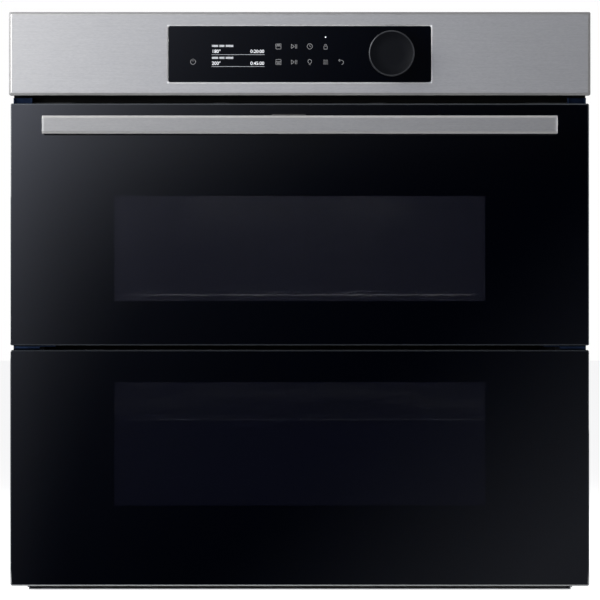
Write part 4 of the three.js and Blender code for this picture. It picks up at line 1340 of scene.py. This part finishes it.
# %% Heating rods
ROD = 3.2 * MM
RING_R, RING_GAP = 66 * MM, 21  # the ring's radius, and half the angle it leaves open at the bottom
LEG_X, LEG_DROP = 16 * MM, 64 * MM
for level in ("upper", "lower"):
    node = level + "_ring_heater"
    box = span(node)
    mid_z = box[1, 2] - RING_R - ROD
    ring_y = box[0, 1] + ROD
    a = np.radians(np.linspace(-90 + RING_GAP, 270 - RING_GAP, 88))
    ring = np.stack([RING_R * np.cos(a), np.full(len(a), ring_y), mid_z + RING_R * np.sin(a)], -1)
    before, end = ring[-2:]
    bend = rounded_path([before, end + (end - before) * 2.2, (-LEG_X, ring_y, mid_z - LEG_DROP),
                         (-LEG_X, box[1, 1], mid_z - LEG_DROP)], 5 * MM, 8)
    line = np.concatenate([bend[::-1] * (-1, 1, 1), ring[2:-2], bend])
    finish_piece(level + "_ring_rod", tube(line, ROD, 12, up=(0.02, 0.03, 1)), FINISH["heater"], node,
                 flat_angle=60)

ORIGIN_Y = liner[0, 1] - 26.3 * MM  # the plane where the oven meets the kitchen unit
ROD_BEND = 17 * MM


def rod_run(node, half):
    """A symmetric rod: the points of one half, and their mirror images in reverse order."""
    right = np.array([(x * MM, ORIGIN_Y + y * MM, middle(node)[2]) for x, y in half])
    path = rounded_path(np.concatenate([right, right[::-1] * (-1, 1, 1)]), ROD_BEND, 8)
    return finish_piece(node + "_rod", tube(path, ROD, 12), FINISH["heater"], node, flat_angle=60)


rod_run("grill_element", [(60, 452), (60, 392), (175, 392), (175, 70), (113, 70), (113, 347), (47, 347),
                          (47, 70)])
rod_run("bottom_element", [(40, 420), (40, 378), (170, 378), (170, 90), (90, 90), (90, 300), (30, 300),
                           (30, 90)])
print("four heating rods")


# %% [markdown]
# ## Oven lamp, insulation, boards and blower
#
# The lamp's cover is thick pressed glass with ring-shaped ripples that spread the light. The insulation is a
# pressed wrap with wide round edges. The boards carry parts with small round edges, and the blower is a drum
# of curved blades.

# %% Lamp cover
lens_box = span("lamp_lens")
lens_mid = lens_box.mean(0)
top_x = lens_box[1, 0]
r = np.linspace(0, 20.5, 34)
ripple = 0.35 * np.cos(2 * np.pi * r / 4.1)
profile = [(a * MM, top_x - (0.6 - b + 6.0 * (a / 20.5) ** 2.4) * MM) for a, b in zip(r, ripple)]
profile += [(a * MM, top_x - drop * MM) for a, drop in ((21.6, 8.2), (21.9, 9.2), (21.9, 11.2), (18, 11.5))]
profile += [(17.8 * MM, lens_box[0, 0] + 0.5 * MM), (17.2 * MM, lens_box[0, 0]), (0, lens_box[0, 0])]
lens_glass = plain_glass("lamp_glass", (0.42, 0.43, 0.42), 0.62)
finish_piece("lamp_cover", turned(profile, (0, lens_mid[1], lens_mid[2]), "x", 56), lens_glass, "lamp_lens",
             flat_angle=50)
print("lamp cover", len(profile), "rings")

# %% Blower wheel and its drum
wheel = span("blower_wheel")
mid = middle("blower_wheel")
hub_foot = (mid[0], mid[1], 0)
R_OUT = (wheel[1, 0] - wheel[0, 0]) / 2
HUB, PLATE = 3.7 * MM, 1.9 * MM
bottom, top = wheel[0, 2], wheel[1, 2]
parts = fan_blades(mid, R_OUT - 1 * MM, R_OUT - 10 * MM, (bottom + 1.5 * MM, top - 1.0 * MM), 30, 0.9 * MM,
                   -0.12, "z")
parts.append(turned([(HUB, bottom + 2 * MM), (8.2 * MM, bottom + 2 * MM), (20 * MM, bottom + PLATE),
                     (R_OUT, bottom + PLATE), (R_OUT, bottom), (HUB, bottom)], hub_foot, "z", 48))
rim = [(R_OUT, top), (R_OUT, top - PLATE), (R_OUT - 9.8 * MM, top - PLATE), (R_OUT - 9.8 * MM, top)]
sleeve = np.array([(9, 1.5), (9, 21), (8, 22), (3.8, 22), (3.8, 2.4)]) * MM + (0, bottom)
parts += [turned(rim, hub_foot, "z", 48, True), turned(sleeve, hub_foot, "z", 48, True)]
finish_piece("blower_drum", combine(parts), FINISH["black_plastic"], "blower_wheel")
print("blower drum", round(2000 * R_OUT), "mm across")

# %% Boards and insulation
for node in ("display_board", "power_board"):
    softened(node, 0.5 * MM)
softened("insulation", 4 * MM, segments=3)


# %% [markdown]
# ## Screws
#
# Sheets and brackets are held by small round-headed screws with a cross recess. One head is a turned dome
# with a star-shaped dip: the dome's height minus a dip where either of two crossing bars is near.

# %% Screw heads
def screw_heads(name, places, axis, sign, radius=4.4 * MM, height=2.0 * MM):
    """Domes on a sheet. The height at radius r is h (1 - (r/R) squared) to the power 0.6, less the recess:
    0.7 h where the smaller of |sin t| r and |cos t| r is below 0.12 R and r is under 0.55 R."""
    r = np.linspace(0, 1, 9)[1:]
    t = np.linspace(0, 2 * np.pi, 32, endpoint=False)
    first, second, third = AXES[axis]
    flat_r, flat_t = np.meshgrid(r, t, indexing="ij")
    dome = (1 - flat_r ** 2).clip(0, 1) ** 0.6
    cross = np.minimum(abs(np.sin(flat_t)), abs(np.cos(flat_t))) * flat_r < 0.12
    dome = dome - 0.7 * (cross & (flat_r < 0.55))
    parts = []
    for place in places:
        rings = np.empty(flat_r.shape + (3,))
        rings[..., first] = place[first] + radius * flat_r * np.cos(flat_t)
        rings[..., second] = place[second] + radius * flat_r * np.sin(flat_t)
        rings[..., third] = place[third] + sign * height * dome.clip(0.0, 1)
        foot = rings[-1:].copy()
        foot[..., third] = place[third] - sign * 0.2 * MM
        parts.append(loft(np.concatenate([rings, foot])))
    return finish_piece(name, combine(parts), FINISH["stainless"], body="cabinet", slot="stainless",
                        flat_angle=40)


def grid(first, second, third):
    """All places whose coordinates come from three lists."""
    return [(a, b, c) for a in first for b in second for c in third]


FLANGE_X, TOP_X, BACK_X = (-0.2865, 0.2865), (-0.271, 0.271), (-0.268, 0.268)
FLANGE_Z, SIDE_Z, BACK_Z = (0.075, 0.300, 0.470), (0.090, 0.300, 0.480), (0.030, 0.240, 0.450, 0.560)
TOP_Y = (-0.200, 0.020, 0.240)
side_panel, back_sheet = span("side_panel_right"), span("back_panel")
REAR_Y = side_panel[1, 1] - 12 * MM
screw_heads("flange_screws", grid(FLANGE_X, (BODY_Y,), FLANGE_Z), "y", -1, 2.8 * MM, 1.2 * MM)
screw_heads("top_screws", grid(TOP_X, TOP_Y, (span("top_cover")[1, 2],)), "z", 1)
for side, sign in (("left", -1), ("right", 1)):
    screw_heads("side_screws_" + side, grid((sign * side_panel[1, 0],), (REAR_Y,), SIDE_Z), "x", sign)
screw_heads("back_screws", grid(BACK_X, (back_sheet[1, 1],), BACK_Z), "y", 1, height=0.45 * MM)
print("screws on the flange, top, sides and back")
